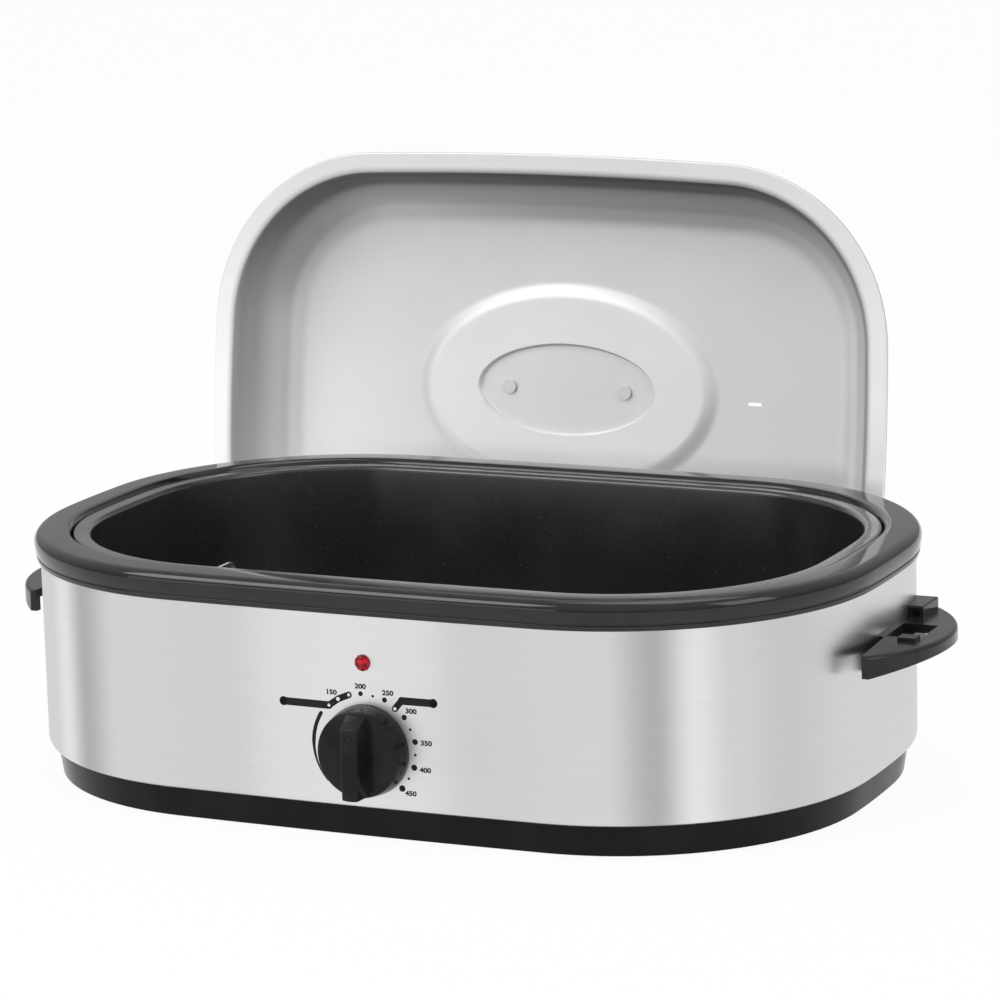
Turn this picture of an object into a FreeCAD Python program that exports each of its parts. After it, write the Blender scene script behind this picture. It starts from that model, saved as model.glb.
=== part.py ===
import FreeCAD, Part
import math
import os
import re
import Sketcher

# Electric roaster oven: oblong heated body, lift-out pan and rack, loose domed lid
# that stands upright behind the body. Millimetres, +Z up, front towards -Y.

V = FreeCAD.Vector
os.makedirs("parts", exist_ok=True)
doc = FreeCAD.newDocument("roaster_oven")
sheet = doc.addObject("Spreadsheet::Sheet", "sizes")

SIZES = [
    # body outline, seen from above, at the widest line of the top rim
    ("half_length", 260), ("half_depth", 178), ("corner_radius", 150),
    ("long_side_radius", 4000), ("short_side_radius", 750),
    ("centre_y", -37.9), ("seat", 0.1), ("running_gap", 0.05),
    # base, wrap and rim
    ("foot_height", 5), ("foot_radius", 9), ("foot_x", 178), ("foot_y", 98), ("foot_recess", 2),
    ("base_inset", 8.5), ("base_lean", 2.6), ("base_top", 18.7), ("base_wall", 1.2),
    ("base_flange", 12), ("skirt_foot", 1.1),
    ("vent_x", 90), ("vent_length", 34), ("vent_width", 4), ("vent_pitch", 12), ("vent_count", 9),
    ("wrap_inset", 3.5), ("wrap_wall", 0.8), ("hem_radius", 4),
    ("rim_top", 146.4), ("rim_flange", 21), ("rim_wall", 2.8), ("rim_drop", 8),
    ("rim_ledge", 8), ("fascia_foot", 129.9),
    # heated well
    ("well_inset", 30), ("well_lean", 6), ("well_wall", 0.8), ("well_floor", 24),
    ("well_radius", 27), ("well_flange", 6),
    ("band_foot", 58), ("band_height", 24), ("band_thick", 2.2),
    ("clamp_width", 14), ("clamp_wall", 1), ("clamp_x", 45),
    ("blanket_foot", 90), ("blanket_top", 128), ("blanket_inset", 9),
    ("lamp_window", 30), ("tie_x", 120), ("tie_y", 112), ("tie_width", 16),
    # pan and rack
    ("pan_gap", 0.3), ("pan_bead", 8.5), ("pan_proud", 2.4), ("pan_wall", 1.2),
    ("pan_inset", 32.4), ("pan_floor", 31), ("pan_radius", 31),
    ("rack_inset", 76), ("rack_lift", 12), ("rack_wire", 4), ("rack_rod", 3),
    ("rack_rods", 11), ("rack_end", 46), ("loop_height", 56), ("loop_width", 90),
    # control
    ("dial_x", 10.8), ("dial_height", 53), ("knob_radius", 26.1), ("knob_gap", 0.8),
    ("knob_face", 24.6), ("skirt_height", 11), ("knob_height", 22), ("knob_wall", 2.4),
    ("grip_width", 13), ("grip_front", 9.8), ("grip_length", 46.5), ("grip_slope", 6.2),
    ("spindle_radius", 3), ("bushing_radius", 5), ("bushing_nut", 8),
    ("thermostat_width", 36), ("thermostat_height", 30), ("thermostat_depth", 16),
    ("lamp_x", 10.3), ("lamp_height", 103), ("lens_radius", 5), ("lens_dome", 3.2),
    ("neon_radius", 3.2), ("neon_length", 12),
    # side handles
    ("handle_foot", 84), ("handle_height", 16), ("handle_back", 55), ("handle_round", 88),
    ("handle_half", 63), ("handle_plate", 5), ("handle_band", 6), ("band_lift", 3),
    ("nose_lift", 6), ("root_half", 36), ("root_reach", 10), ("root_height", 11),
    ("stand_off", 6), ("rest_slot_reach", 23.5), ("rest_slot_start", 3),
    ("rest_slot_near", 14), ("rest_slot_far", 18), ("rest_ledge", 2), ("rest_ledge_width", 9),
    ("rest_ledge_start", 13), ("rest_tab_wall", 2),
    ("rest_tab_height", 6), ("rest_tab_reach", 8.4), ("rest_tab_near", 36), ("rest_tab_far", 63),
    ("handle_screw_y", 26), ("screw_radius", 2), ("screw_head", 4),
    # electrics at the back
    ("gland_x", 60), ("gland_z", 58), ("gland_radius", 8), ("gland_proud", 3),
    ("block_length", 46), ("block_width", 22), ("block_height", 14), ("block_x", 70), ("block_y", 60),
    ("block_well", 3), ("fuse_x", 69), ("fuse_half", 11), ("fuse_leg", 12), ("fuse_radius", 3),
    ("fuse_drop", 5.6), ("clip_width", 8),
    # lid
    ("lid_half_length", 231), ("lid_half_width", 168.5), ("lid_corner", 112),
    ("lid_long_radius", 3200), ("lid_short_radius", 1600),
    ("lid_x", -42.7), ("lid_tilt", 6.75), ("lid_tuck", 1.8), ("lid_sheet", 1),
    ("lid_flange", 15), ("lid_bead", 3.2), ("bead_round", 1.4), ("lid_wall_lean", 10), ("lid_depth", 46),
    ("oval_long", 104.5), ("oval_short", 69), ("oval_rise", 4), ("oval_shift", 18),
    ("seat_long", 61.4), ("seat_short", 29.5),
    ("vent_slot_x", 128), ("vent_slot_y", -10),
    ("lid_handle_length", 118), ("lid_handle_width", 22), ("lid_handle_height", 31.2),
    ("lid_handle_bar", 12), ("lid_post", 18), ("lid_screw_x", 40),
]

for row, (name, size) in enumerate(SIZES, start=1):
    sheet.set(f"A{row}", name)
    sheet.set(f"B{row}", str(size))
    sheet.setAlias(f"B{row}", name)
doc.recompute()

WORDS = re.compile(r"\b(" + "|".join(name for name, _ in SIZES) + r")\b")


def val(text):
    """Value of a size or of a sum of sizes, such as 'rim_top - rim_wall'."""
    return float(sheet.evalExpression(str(text)))


def bind(thing, prop, text):
    """Tie a property to the sheet."""
    thing.setExpression(prop, WORDS.sub(r"sizes.\1", str(text)))


# ---------------------------------------------------------------- outlines

def oblong(half_x, half_y, corner, long_side, short_side):
    """Eight tangent arcs of a bulged oblong: (centre, radius, start turn, end turn)."""
    long_centre = V(0, half_y - long_side, 0)
    short_centre = V(half_x - short_side, 0, 0)
    reach_long, reach_short = long_side - corner, short_side - corner
    line = short_centre - long_centre
    along = line * (1 / line.Length)
    near = (reach_long ** 2 - reach_short ** 2 + line.Length ** 2) / (2 * line.Length)
    side = math.sqrt(reach_long ** 2 - near ** 2)
    nook = long_centre + along * near + V(along.y, -along.x, 0) * side
    low = math.atan2(nook.y - short_centre.y, nook.x - short_centre.x)
    high = math.atan2(nook.y - long_centre.y, nook.x - long_centre.x)
    half = math.pi
    return [(short_centre, short_side, -low, low), (nook, corner, low, high),
            (long_centre, long_side, high, half - high),
            (V(-nook.x, nook.y, 0), corner, half - high, half - low),
            (short_centre * -1, short_side, half - low, half + low),
            (nook * -1, corner, half + low, half + high),
            (long_centre * -1, long_side, half + high, 2 * half - high),
            (V(nook.x, -nook.y, 0), corner, 2 * half - high, 2 * half - low)]


BODY_OUTLINE = oblong(val("half_length"), val("half_depth"), val("corner_radius"),
                      val("long_side_radius"), val("short_side_radius"))
LID_OUTLINE = oblong(val("lid_half_length"), val("lid_half_width"), val("lid_corner"),
                     val("lid_long_radius"), val("lid_short_radius"))


def outline_wire(outline, inset, height=0):
    """The outline drawn inwards by an inset, at a height."""
    edges = []
    for centre, radius, start, end in outline:
        points = [centre + V(math.cos(turn), math.sin(turn), 0) * (radius - inset)
                  + V(0, 0, height) for turn in (start, (start + end) / 2, end)]
        edges.append(Part.Arc(*points).toShape())
    return Part.Wire(edges)


def slab(outline, inset, foot, top):
    """Flat plate inside an outline."""
    return Part.Face(outline_wire(outline, inset, foot)).extrude(V(0, 0, top - foot))


def rounded(points, closed=True):
    """Wire in the XZ plane through (x, z) or (x, z, radius) corners."""
    corners = [V(p[0], 0, p[1]) for p in points]
    radii = [p[2] if len(p) > 2 else 0 for p in points]
    edges, last = [], corners[0]
    around = list(range(len(corners))) + [0] if closed else range(len(corners))
    for i in list(around)[1:]:
        tip, start, end = corners[i], corners[i], corners[i]
        if radii[i]:
            back = (corners[i - 1] - tip).normalize()
            ahead = (corners[(i + 1) % len(corners)] - tip).normalize()
            half = back.getAngle(ahead) / 2
            run = radii[i] / math.tan(half)
            start, end = tip + back * run, tip + ahead * run
            middle = tip + (back + ahead).normalize() * (radii[i] / math.sin(half) - radii[i])
        edges.append(Part.makeLine(last, start))
        if radii[i]:
            edges.append(Part.Arc(start, middle, end).toShape())
        last = end
    return Part.Wire(edges)


def section(reach, corners, closed=True):
    """Wire of (inset, height, radius) corners, measured back from a reach."""
    return rounded([(reach - val(c[0]), *(val(part) for part in c[1:])) for c in corners],
                   closed)


def swept(outline, wires, caps=()):
    """Solid between the caps that each arc's wire leaves when it turns about the arc's centre."""
    faces = list(caps)
    for (centre, radius, start, end), wire in zip(outline, wires):
        wire.rotate(V(0, 0, 0), V(0, 0, 1), math.degrees(start))
        wire.translate(centre)
        faces += wire.revolve(centre, V(0, 0, 1), math.degrees(end - start)).Faces
    shell = Part.makeShell(faces)
    shell.sewShape()
    solid = Part.makeSolid(shell)
    if solid.Volume < 0:
        solid.reverse()
    return solid


def ring(outline, corners):
    """Closed section carried once round an outline; its first corner is sharp."""
    return swept(outline, [section(radius, corners) for _, radius, _, _ in outline])


def vessel(outline, corners):
    """Open section carried round an outline, its two ends joined by flat floors."""
    caps = [Part.Face(outline_wire(outline, val(c[0]), val(c[1])))
            for c in (corners[0], corners[-1])]
    return swept(outline, [section(radius, corners, False) for _, radius, _, _ in outline],
                 caps)


def shape_part(label, shape, at=None, turn=None):
    """Sub-part whose shape no primitive or body gives."""
    part = doc.addObject("Part::Feature", label)
    part.Label = label
    part.Shape = shape
    part.Placement = FreeCAD.Placement(at or V(0, val("centre_y"), 0),
                                       turn or FreeCAD.Rotation())
    return part


def rod(start, end, radius):
    return Part.makeCylinder(radius, (end - start).Length, start, end - start)


def front_y(inset):
    """Y of the front wall at an inset, near the middle of the long side."""
    return -(val("half_depth") - val(inset))


# ---------------------------------------------------------------- bound bodies

def new_body(label, x="0", y="0", z="0", turn=None):
    body = doc.addObject("PartDesign::Body", label)
    body.Label = label
    body.Placement = FreeCAD.Placement(V(), turn or FreeCAD.Rotation())
    for axis, place in (("x", x), ("y", f"centre_y + ({y})"), ("z", z)):
        bind(body, f"Placement.Base.{axis}", place)
    return body


def sketch(body, name, role, height="0"):
    plane = next(f for f in body.Origin.OriginFeatures if f.Role == role)
    drawing = body.newObject("Sketcher::SketchObject", name)
    drawing.AttachmentSupport = [(plane, "")]
    drawing.MapMode = "FlatFace"
    bind(drawing, "AttachmentOffset.Base.z", height)
    return drawing


def pin(drawing, geometry, end, x, y):
    """Fix a point at bound distances from the sketch origin."""
    for kind, text in (("DistanceX", x), ("DistanceY", y)):
        rule = Sketcher.Constraint(kind, -1, 1, geometry, end, val(text))
        bind(drawing, f"Constraints[{drawing.addConstraint(rule)}]", text)


def polygon(drawing, corners):
    """Closed polygon with every corner bound to the sheet."""
    tips = [V(val(x), val(y), 0) for x, y in corners]
    sides = [drawing.addGeometry(Part.LineSegment(tip, tips[(i + 1) % len(tips)]))
             for i, tip in enumerate(tips)]
    for i, (x, y) in enumerate(corners):
        drawing.addConstraint(Sketcher.Constraint("Coincident", sides[i - 1], 2, sides[i], 1))
        pin(drawing, sides[i], 1, x, y)
    return drawing


def circle(drawing, x, y, radius):
    ring_edge = drawing.addGeometry(Part.Circle(V(val(x), val(y), 0), V(0, 0, 1), val(radius)))
    pin(drawing, ring_edge, 3, x, y)
    rule = Sketcher.Constraint("Radius", ring_edge, val(radius))
    bind(drawing, f"Constraints[{drawing.addConstraint(rule)}]", radius)
    return drawing


def extrude(body, kind, name, drawing, length, symmetric=False, reverse=False):
    """Pad or Pocket of a bound length."""
    feature = body.newObject("PartDesign::" + kind, name)
    feature.Profile = drawing
    feature.Midplane = symmetric
    feature.Reversed = reverse
    bind(feature, "Length", length)
    body.Tip = feature
    doc.recompute()
    return feature


def pad(body, name, drawing, length, **options):
    return extrude(body, "Pad", name, drawing, length, **options)


def pocket(body, name, drawing, length, **options):
    before = body.Shape.Volume
    cut = extrude(body, "Pocket", name, drawing, length, **options)
    if body.Shape.Volume > before - 1e-3:
        cut.Reversed = not cut.Reversed
        doc.recompute()
    return cut


def revolve(body, name, drawing):
    turned = body.newObject("PartDesign::Revolution", name)
    turned.Profile = drawing
    turned.ReferenceAxis = (drawing, ["V_Axis"])
    turned.Angle = 360
    body.Tip = turned
    doc.recompute()
    return turned


def fillet(body, name, radius, wanted):
    """Round the edges of the body's tip whose middle point passes the test."""
    tip = body.Tip
    names = [f"Edge{i + 1}" for i, edge in enumerate(tip.Shape.Edges)
             if wanted(edge.CenterOfMass, edge)]
    if not names:
        raise RuntimeError(f"{body.Label}: no edge for {name}")
    rounding = body.newObject("PartDesign::Fillet", name)
    rounding.Base = (tip, names)
    bind(rounding, "Radius", radius)
    body.Tip = rounding
    doc.recompute()
    return rounding


def upright(edge):
    return abs(edge.tangentAt(edge.FirstParameter).z) > 0.99


FACING_FRONT = FreeCAD.Rotation(V(1, 0, 0), 90)
FACING_BACK = FreeCAD.Rotation(V(1, 0, 0), -90)


# ---------------------------------------------------------------- body shell

def wall_inset(height):
    """Inset of the well's sloping outer wall at a height."""
    well_top = "(rim_top - rim_drop - 2.5 - seat)"
    return f"(well_inset + well_lean * ({well_top} - ({height})) / ({well_top} - well_floor))"


def wrap_holes():
    """Cylinders for everything that passes through the wrap, in body coordinates."""
    front, back = front_y("wrap_inset") - 5, -front_y("wrap_inset") - 8
    holes = [
        rod(V(val("dial_x"), front, val("dial_height")),
            V(val("dial_x"), front + 14, val("dial_height")), val("bushing_radius + seat")),
        rod(V(val("lamp_x"), front, val("lamp_height")),
            V(val("lamp_x"), front + 14, val("lamp_height")), val("lens_radius - 0.8")),
        rod(V(val("gland_x"), back, val("gland_z")),
            V(val("gland_x"), back + 16, val("gland_z")), val("gland_radius - 1.5")),
    ]
    for x_side in (1, -1):
        for y_side in (1, -1):
            y, z = y_side * val("handle_screw_y"), handle_screw_height()
            holes.append(side_bore(x_side, y, z))
    return holes


def side_bore(side, y, z):
    """Clearance hole for a handle screw, through the side of the wrap."""
    face = val("half_length - wrap_inset")
    return rod(V(side * (face - 12), y, z), V(side * (face + 6), y, z),
               val("screw_radius + seat"))


def handle_screw_height():
    return val("handle_foot + root_height / 2")


def base_skirt():
    foot, top, wall = "foot_height", "base_top", "base_wall"
    low = "base_inset + base_lean"
    shape = vessel(BODY_OUTLINE, [
        (f"{low} + 30", f"{foot} + {wall}"), (f"{low} + {wall}", f"{foot} + {wall}", "1.8"),
        (f"base_inset + {wall}", f"{top} - {wall}"),
        ("base_inset + base_flange", f"{top} - {wall}"), ("base_inset + base_flange", top),
        ("base_inset", top), (low, "skirt_foot"), (f"{low} + {wall}", "skirt_foot"),
        (f"{low} + {wall}", foot, "1"), (f"{low} + 30", foot)])
    cuts = []
    count, width = int(val("vent_count")), val("vent_width")
    for x_side in (1, -1):
        for i in range(count):
            y = (i - (count - 1) / 2) * val("vent_pitch")
            length = val("vent_length") / 2
            start = V(x_side * val("vent_x") - length, y - width / 2, 0)
            cuts.append(Part.makeBox(2 * length, width, 20, start))
    for x, y in foot_places():
        cuts.append(rod(V(x, y, 0), V(x, y, 20), val("screw_radius + seat")))
    for x, y in tie_places():
        cuts.append(rod(V(x, y, 0), V(x, y, 20), val("screw_radius + seat")))
    return shape_part("base_skirt", shape.cut(cuts))


def outer_wrap():
    foot, wall = "(base_top + seat)", "wrap_wall"
    top = "rim_top - 0.4 - rim_wall - seat"
    inner = "base_inset + 8"
    shape = ring(BODY_OUTLINE, [
        ("wrap_inset", top), ("wrap_inset", foot, "hem_radius"), (inner, foot),
        (inner, f"{foot} + {wall}"), (f"wrap_inset + {wall}", f"{foot} + {wall}", "hem_radius - wrap_wall"),
        (f"wrap_inset + {wall}", top)])
    return shape_part("outer_wrap", shape.cut(wrap_holes()))


def top_rim():
    """Moulded rim: flat flange, rounded fascia with a groove, and the pan's ledge."""
    ledge, under = "rim_top - rim_drop", "rim_top - rim_drop - 2.5"
    skin = "rim_top - 0.4 - rim_wall"
    shape = ring(BODY_OUTLINE, [
        ("rim_flange + rim_ledge", ledge), ("rim_flange + 2.5", ledge, "2"),
        ("rim_flange", "rim_top", "3"), ("0.8", "rim_top - 0.4", "5"),
        ("0", "rim_top - 6.4"), ("0.8", "fascia_foot + 4.2"), ("1.6", "fascia_foot + 3.9"),
        ("1.6", "fascia_foot + 3.1"), ("1", "fascia_foot + 2.8"), ("1.4", "fascia_foot", "0.6"),
        ("wrap_inset - 3 * seat", "fascia_foot", "0.5"), ("wrap_inset - 3 * seat", skin),
        ("rim_flange - 2", skin, "2"),
        ("rim_flange", under, "1.5"), ("rim_flange + rim_ledge", under)])
    return shape_part("top_rim", shape)


def heating_well():
    top = "rim_top - rim_drop - 2.5 - seat"
    low = "well_inset + well_lean"
    shape = vessel(BODY_OUTLINE, [
        ("well_inset + 70", "well_floor + well_wall"),
        (f"{low} + well_wall", "well_floor + well_wall", "well_radius - well_wall"),
        ("well_inset + well_wall", top, "1.4"), ("well_inset - well_flange", top),
        ("well_inset - well_flange", f"{top} - well_wall"),
        ("well_inset", f"{top} - well_wall", "0.6"), (low, "well_floor", "well_radius"),
        ("well_inset + 70", "well_floor")])
    return shape_part("heating_well", shape)


def heater_band():
    foot, top = "band_foot", "band_foot + band_height"
    near_foot, near_top = f"{wall_inset(foot)} - seat", f"{wall_inset(top)} - seat"
    return shape_part("heater_band", ring(BODY_OUTLINE, [
        (near_foot, foot), (near_top, top),
        (f"{near_top} - band_thick", top), (f"{near_foot} - band_thick", foot)]))


def heater_clamps():
    """Four strips that press the band to the well, on the straight long sides."""
    low, high = "band_foot - 5", "band_foot + band_height + 5"
    out = "(seat + band_thick + seat)"
    strip = Part.Face(section(val("half_depth"), [
        (f"{wall_inset(low)} - seat", low), (f"{wall_inset('band_foot - 1')} - seat", "band_foot - 1"),
        (f"{wall_inset('band_foot - 1')} - {out}", "band_foot - 1"),
        (f"{wall_inset('band_foot + band_height + 1')} - {out}", "band_foot + band_height + 1"),
        (f"{wall_inset('band_foot + band_height + 1')} - seat", "band_foot + band_height + 1"),
        (f"{wall_inset(high)} - seat", high), (f"{wall_inset(high)} - seat - clamp_wall", high),
        (f"{wall_inset('band_foot + band_height + 2')} - seat - clamp_wall", "band_foot + band_height + 2"),
        (f"{wall_inset('band_foot + band_height + 2')} - {out} - clamp_wall", "band_foot + band_height + 2"),
        (f"{wall_inset('band_foot - 2')} - {out} - clamp_wall", "band_foot - 2"),
        (f"{wall_inset('band_foot - 2')} - seat - clamp_wall", "band_foot - 2"),
        (f"{wall_inset(low)} - seat - clamp_wall", low)]))
    strip.rotate(V(0, 0, 0), V(0, 0, 1), 90)
    strips = []
    for x_side in (1, -1):
        back = strip.copy()
        back.translate(V(x_side * val("clamp_x") - val("clamp_width") / 2, 0, 0))
        back = back.extrude(V(val("clamp_width"), 0, 0))
        strips += [back, back.mirror(V(0, 0, 0), V(0, 1, 0))]
    return shape_part("heater_clamps", Part.makeCompound(strips))


def insulation_blanket():
    foot, top = "blanket_foot", "blanket_top"
    shape = ring(BODY_OUTLINE, [
        (f"{wall_inset(foot)} - 4 * seat", foot), ("blanket_inset", foot, "2"),
        ("blanket_inset", top, "2"), (f"{wall_inset(top)} - 4 * seat", top)])
    wide = val("lamp_window")
    corner = V(val("lamp_x") - wide / 2, front_y("blanket_inset") - wide / 8,
               val("blanket_foot") - wide / 4)
    window = Part.makeBox(wide, wide, 2 * wide, corner)
    return shape_part("insulation_blanket", shape.cut(window))


def foot_places():
    return [(x * val("foot_x"), y * val("foot_y")) for x in (1, -1) for y in (1, -1)]


def tie_places():
    return [(x * val("tie_x"), y * val("tie_y")) for x in (1, -1) for y in (1, -1)]


def feet():
    """Four moulded feet, each with a recess for its screw."""
    body = new_body("feet")
    ground = sketch(body, "tread", "XY_Plane")
    for x, y in foot_places():
        signs = math.copysign(1, x), math.copysign(1, y)
        circle(ground, f"{signs[0]:.0f} * foot_x", f"{signs[1]:.0f} * foot_y", "foot_radius")
    pad(body, "foot_blocks", ground, "foot_height - seat")
    recess = sketch(body, "recess", "XY_Plane")
    for x, y in foot_places():
        signs = math.copysign(1, x), math.copysign(1, y)
        circle(recess, f"{signs[0]:.0f} * foot_x", f"{signs[1]:.0f} * foot_y",
               "screw_head + seat")
    pocket(body, "screw_recess", recess, "foot_recess", reverse=True)
    bore = sketch(body, "bore", "XY_Plane")
    for x, y in foot_places():
        signs = math.copysign(1, x), math.copysign(1, y)
        circle(bore, f"{signs[0]:.0f} * foot_x", f"{signs[1]:.0f} * foot_y",
               "screw_radius + seat")
    pocket(body, "screw_bore", bore, "foot_height", reverse=True)
    fillet(body, "tread_edge", "1.5", lambda at, edge: at.z < 0.01 and edge.BoundBox.XLength
           > 2 * val("screw_head + seat") + 1)
    return body


def screw(at, way, grip, head=None):
    """Pan-head screw: the head's underside sits at a point, the shank goes along way."""
    way = way.normalize()
    head = head or val("screw_head")
    dome = Part.makeCylinder(head, 1.6, at - way * 1.6, way)
    return dome.fuse(rod(at, at + way * grip, val("screw_radius"))).removeSplitter()


def foot_screws():
    seat_height = val("foot_recess") - val("seat")
    screws = [screw(V(x, y, seat_height), V(0, 0, 1), val("foot_height") + 2)
              for x, y in foot_places()]
    return shape_part("foot_screws", Part.makeCompound(screws))


def tie_brackets():
    """Four angle brackets that carry the well's weight to the base floor."""
    brackets = []
    low, wall = val("foot_height + base_wall + seat"), 1.5
    high, wide = val("well_floor") - val("seat"), val("tie_width")
    for x, y in tie_places():
        leg = Part.makeBox(wide, wall, high - low, V(x - wide / 2, y - wide / 2, low))
        foot = Part.makeBox(wide, wide, wall, V(x - wide / 2, y - wide / 2, low))
        head = Part.makeBox(wide, wide, wall, V(x - wide / 2, y - wide / 2, high - wall))
        bore = rod(V(x, y + 1, low - 1), V(x, y + 1, low + wall + 1), val("screw_radius + seat"))
        bore.translate(V(0, -1, 0))
        brackets.append(leg.fuse([foot, head]).removeSplitter().cut(bore))
    return shape_part("tie_brackets", Part.makeCompound(brackets))


def tie_screws():
    under = val("foot_height") - val("seat")
    screws = [screw(V(x, y, under), V(0, 0, 1), 6) for x, y in tie_places()]
    return shape_part("tie_screws", Part.makeCompound(screws))


# ---------------------------------------------------------------- control

def thermostat():
    """Square switch housing with a threaded bushing and the nut that clamps the wrap."""
    body = new_body("thermostat", "dial_x", "-(half_depth - wrap_inset - wrap_wall - 3 * seat)",
                    "dial_height", FACING_FRONT)
    face = sketch(body, "housing", "XY_Plane")
    polygon(face, [("-thermostat_width / 2", "-thermostat_height / 2"),
                   ("thermostat_width / 2", "-thermostat_height / 2"),
                   ("thermostat_width / 2", "thermostat_height / 2"),
                   ("-thermostat_width / 2", "thermostat_height / 2")])
    pad(body, "housing_block", face, "thermostat_depth", reverse=True)
    fillet(body, "housing_corners", "3", lambda at, edge: upright(edge))
    bush = circle(sketch(body, "bushing", "XY_Plane"), "0", "0", "bushing_radius")
    pad(body, "bushing_stub", bush, "wrap_wall + 2.4 + 5 * seat")
    bore = circle(sketch(body, "bore", "XY_Plane", "wrap_wall + 2.4 + 5 * seat"), "0", "0",
                  "spindle_radius + running_gap")
    pocket(body, "spindle_bore", bore, "13")
    return body


def bushing_nut():
    body = new_body("bushing_nut", "dial_x", "-(half_depth - wrap_inset + seat)",
                    "dial_height", FACING_FRONT)
    drawing = sketch(body, "hexagon", "XY_Plane")
    polygon(drawing, [(f"bushing_nut * cos({60 * i}) ", f"bushing_nut * sin({60 * i})")
                      for i in range(6)])
    circle(drawing, "0", "0", "bushing_radius + running_gap")
    pad(body, "nut", drawing, "2.4")
    return body


def knob_spindle():
    body = new_body("knob_spindle", "dial_x", "-(half_depth - wrap_inset + knob_gap)",
                    "dial_height", FACING_FRONT)
    end = circle(sketch(body, "round", "XY_Plane", "-8"), "0", "0", "spindle_radius")
    pad(body, "shaft", end, "8 + knob_height - 6")
    flat = sketch(body, "flat", "XY_Plane", "knob_height - 6")
    polygon(flat, [("spindle_radius - 1.5", "-spindle_radius - 1"),
                   ("spindle_radius + 1", "-spindle_radius - 1"),
                   ("spindle_radius + 1", "spindle_radius + 1"),
                   ("spindle_radius - 1.5", "spindle_radius + 1")])
    pocket(body, "shaft_flat", flat, "knob_height - 9")
    return body


def control_knob():
    """Hollow skirt with a thumb bar across it and a D bore for the spindle."""
    body = new_body("control_knob", "dial_x", "-(half_depth - wrap_inset + knob_gap)",
                    "dial_height", FACING_FRONT)
    half = sketch(body, "skirt_half", "XZ_Plane")
    polygon(half, [("0", "skirt_height"), ("knob_face", "skirt_height"),
                   ("knob_radius", "1.2"), ("knob_radius", "0"),
                   ("knob_radius - knob_wall", "0"),
                   ("knob_face - knob_wall", "skirt_height - knob_wall"),
                   ("8", "skirt_height - knob_wall"), ("8", "3"), ("0", "3")])
    revolve(body, "skirt", half)
    fillet(body, "face_edge", "1.4", lambda at, edge: at.z > val("skirt_height") - 0.01)
    bar = sketch(body, "thumb_bar", "XZ_Plane")
    polygon(bar, [("-grip_width / 2", "skirt_height - 1"), ("grip_width / 2", "skirt_height - 1"),
                  ("grip_width / 2", "skirt_height"), ("grip_front / 2", "knob_height"),
                  ("-grip_front / 2", "knob_height"), ("-grip_width / 2", "skirt_height")])
    pad(body, "grip", bar, "grip_length", symmetric=True)
    slope = sketch(body, "pointer_end", "YZ_Plane")
    polygon(slope, [("grip_length / 2", "skirt_height"), ("grip_length / 2 + 2", "skirt_height"),
                    ("grip_length / 2 + 2", "knob_height + 2"),
                    ("grip_length / 2 - grip_slope", "knob_height + 2"),
                    ("grip_length / 2 - grip_slope", "knob_height")])
    pocket(body, "sloped_end", slope, "grip_width + 2", symmetric=True)
    fillet(body, "grip_edge", "1.2", lambda at, edge: at.z > val("knob_height") - 0.01
           and abs(at.x) > 1)
    bore = sketch(body, "bore", "XY_Plane")
    circle(bore, "0", "0", "spindle_radius + 0.02")
    pocket(body, "spindle_bore", bore, "knob_height - 5.5", reverse=True)
    return body


def indicator_lens():
    """Red domed lens with a collar, pushed into the wrap from outside."""
    body = new_body("indicator_lens", "lamp_x", "-(half_depth - wrap_inset + seat)",
                    "lamp_height", FACING_FRONT)
    half = sketch(body, "lens_half", "XZ_Plane")
    polygon(half, [("0", "lens_dome"), ("lens_radius * 0.45", "lens_dome - 0.4"),
                   ("lens_radius * 0.8", "lens_dome - 1.5"), ("lens_radius", "0.8"),
                   ("lens_radius", "0"), ("lens_radius - 1", "0"), ("lens_radius - 1", "-5"),
                   ("neon_radius + 0.2", "-5"), ("neon_radius + 0.2", "0.4"), ("0", "0.9")])
    revolve(body, "lens", half)
    return body


def indicator_lamp():
    """Neon tube and its insulated holder behind the lens."""
    body = new_body("indicator_lamp", "lamp_x", "-(half_depth - wrap_inset - 5.2)",
                    "lamp_height", FACING_FRONT)
    half = sketch(body, "lamp_half", "XZ_Plane")
    polygon(half, [("0", "4.2"), ("neon_radius * 0.6", "3.6"), ("neon_radius", "2"),
                   ("neon_radius", "-0.2"), ("lens_radius - 0.4", "-0.2"),
                   ("lens_radius - 0.4", "-neon_length"), ("0", "-neon_length")])
    revolve(body, "lamp", half)
    return body


# ---------------------------------------------------------------- side handles

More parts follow.
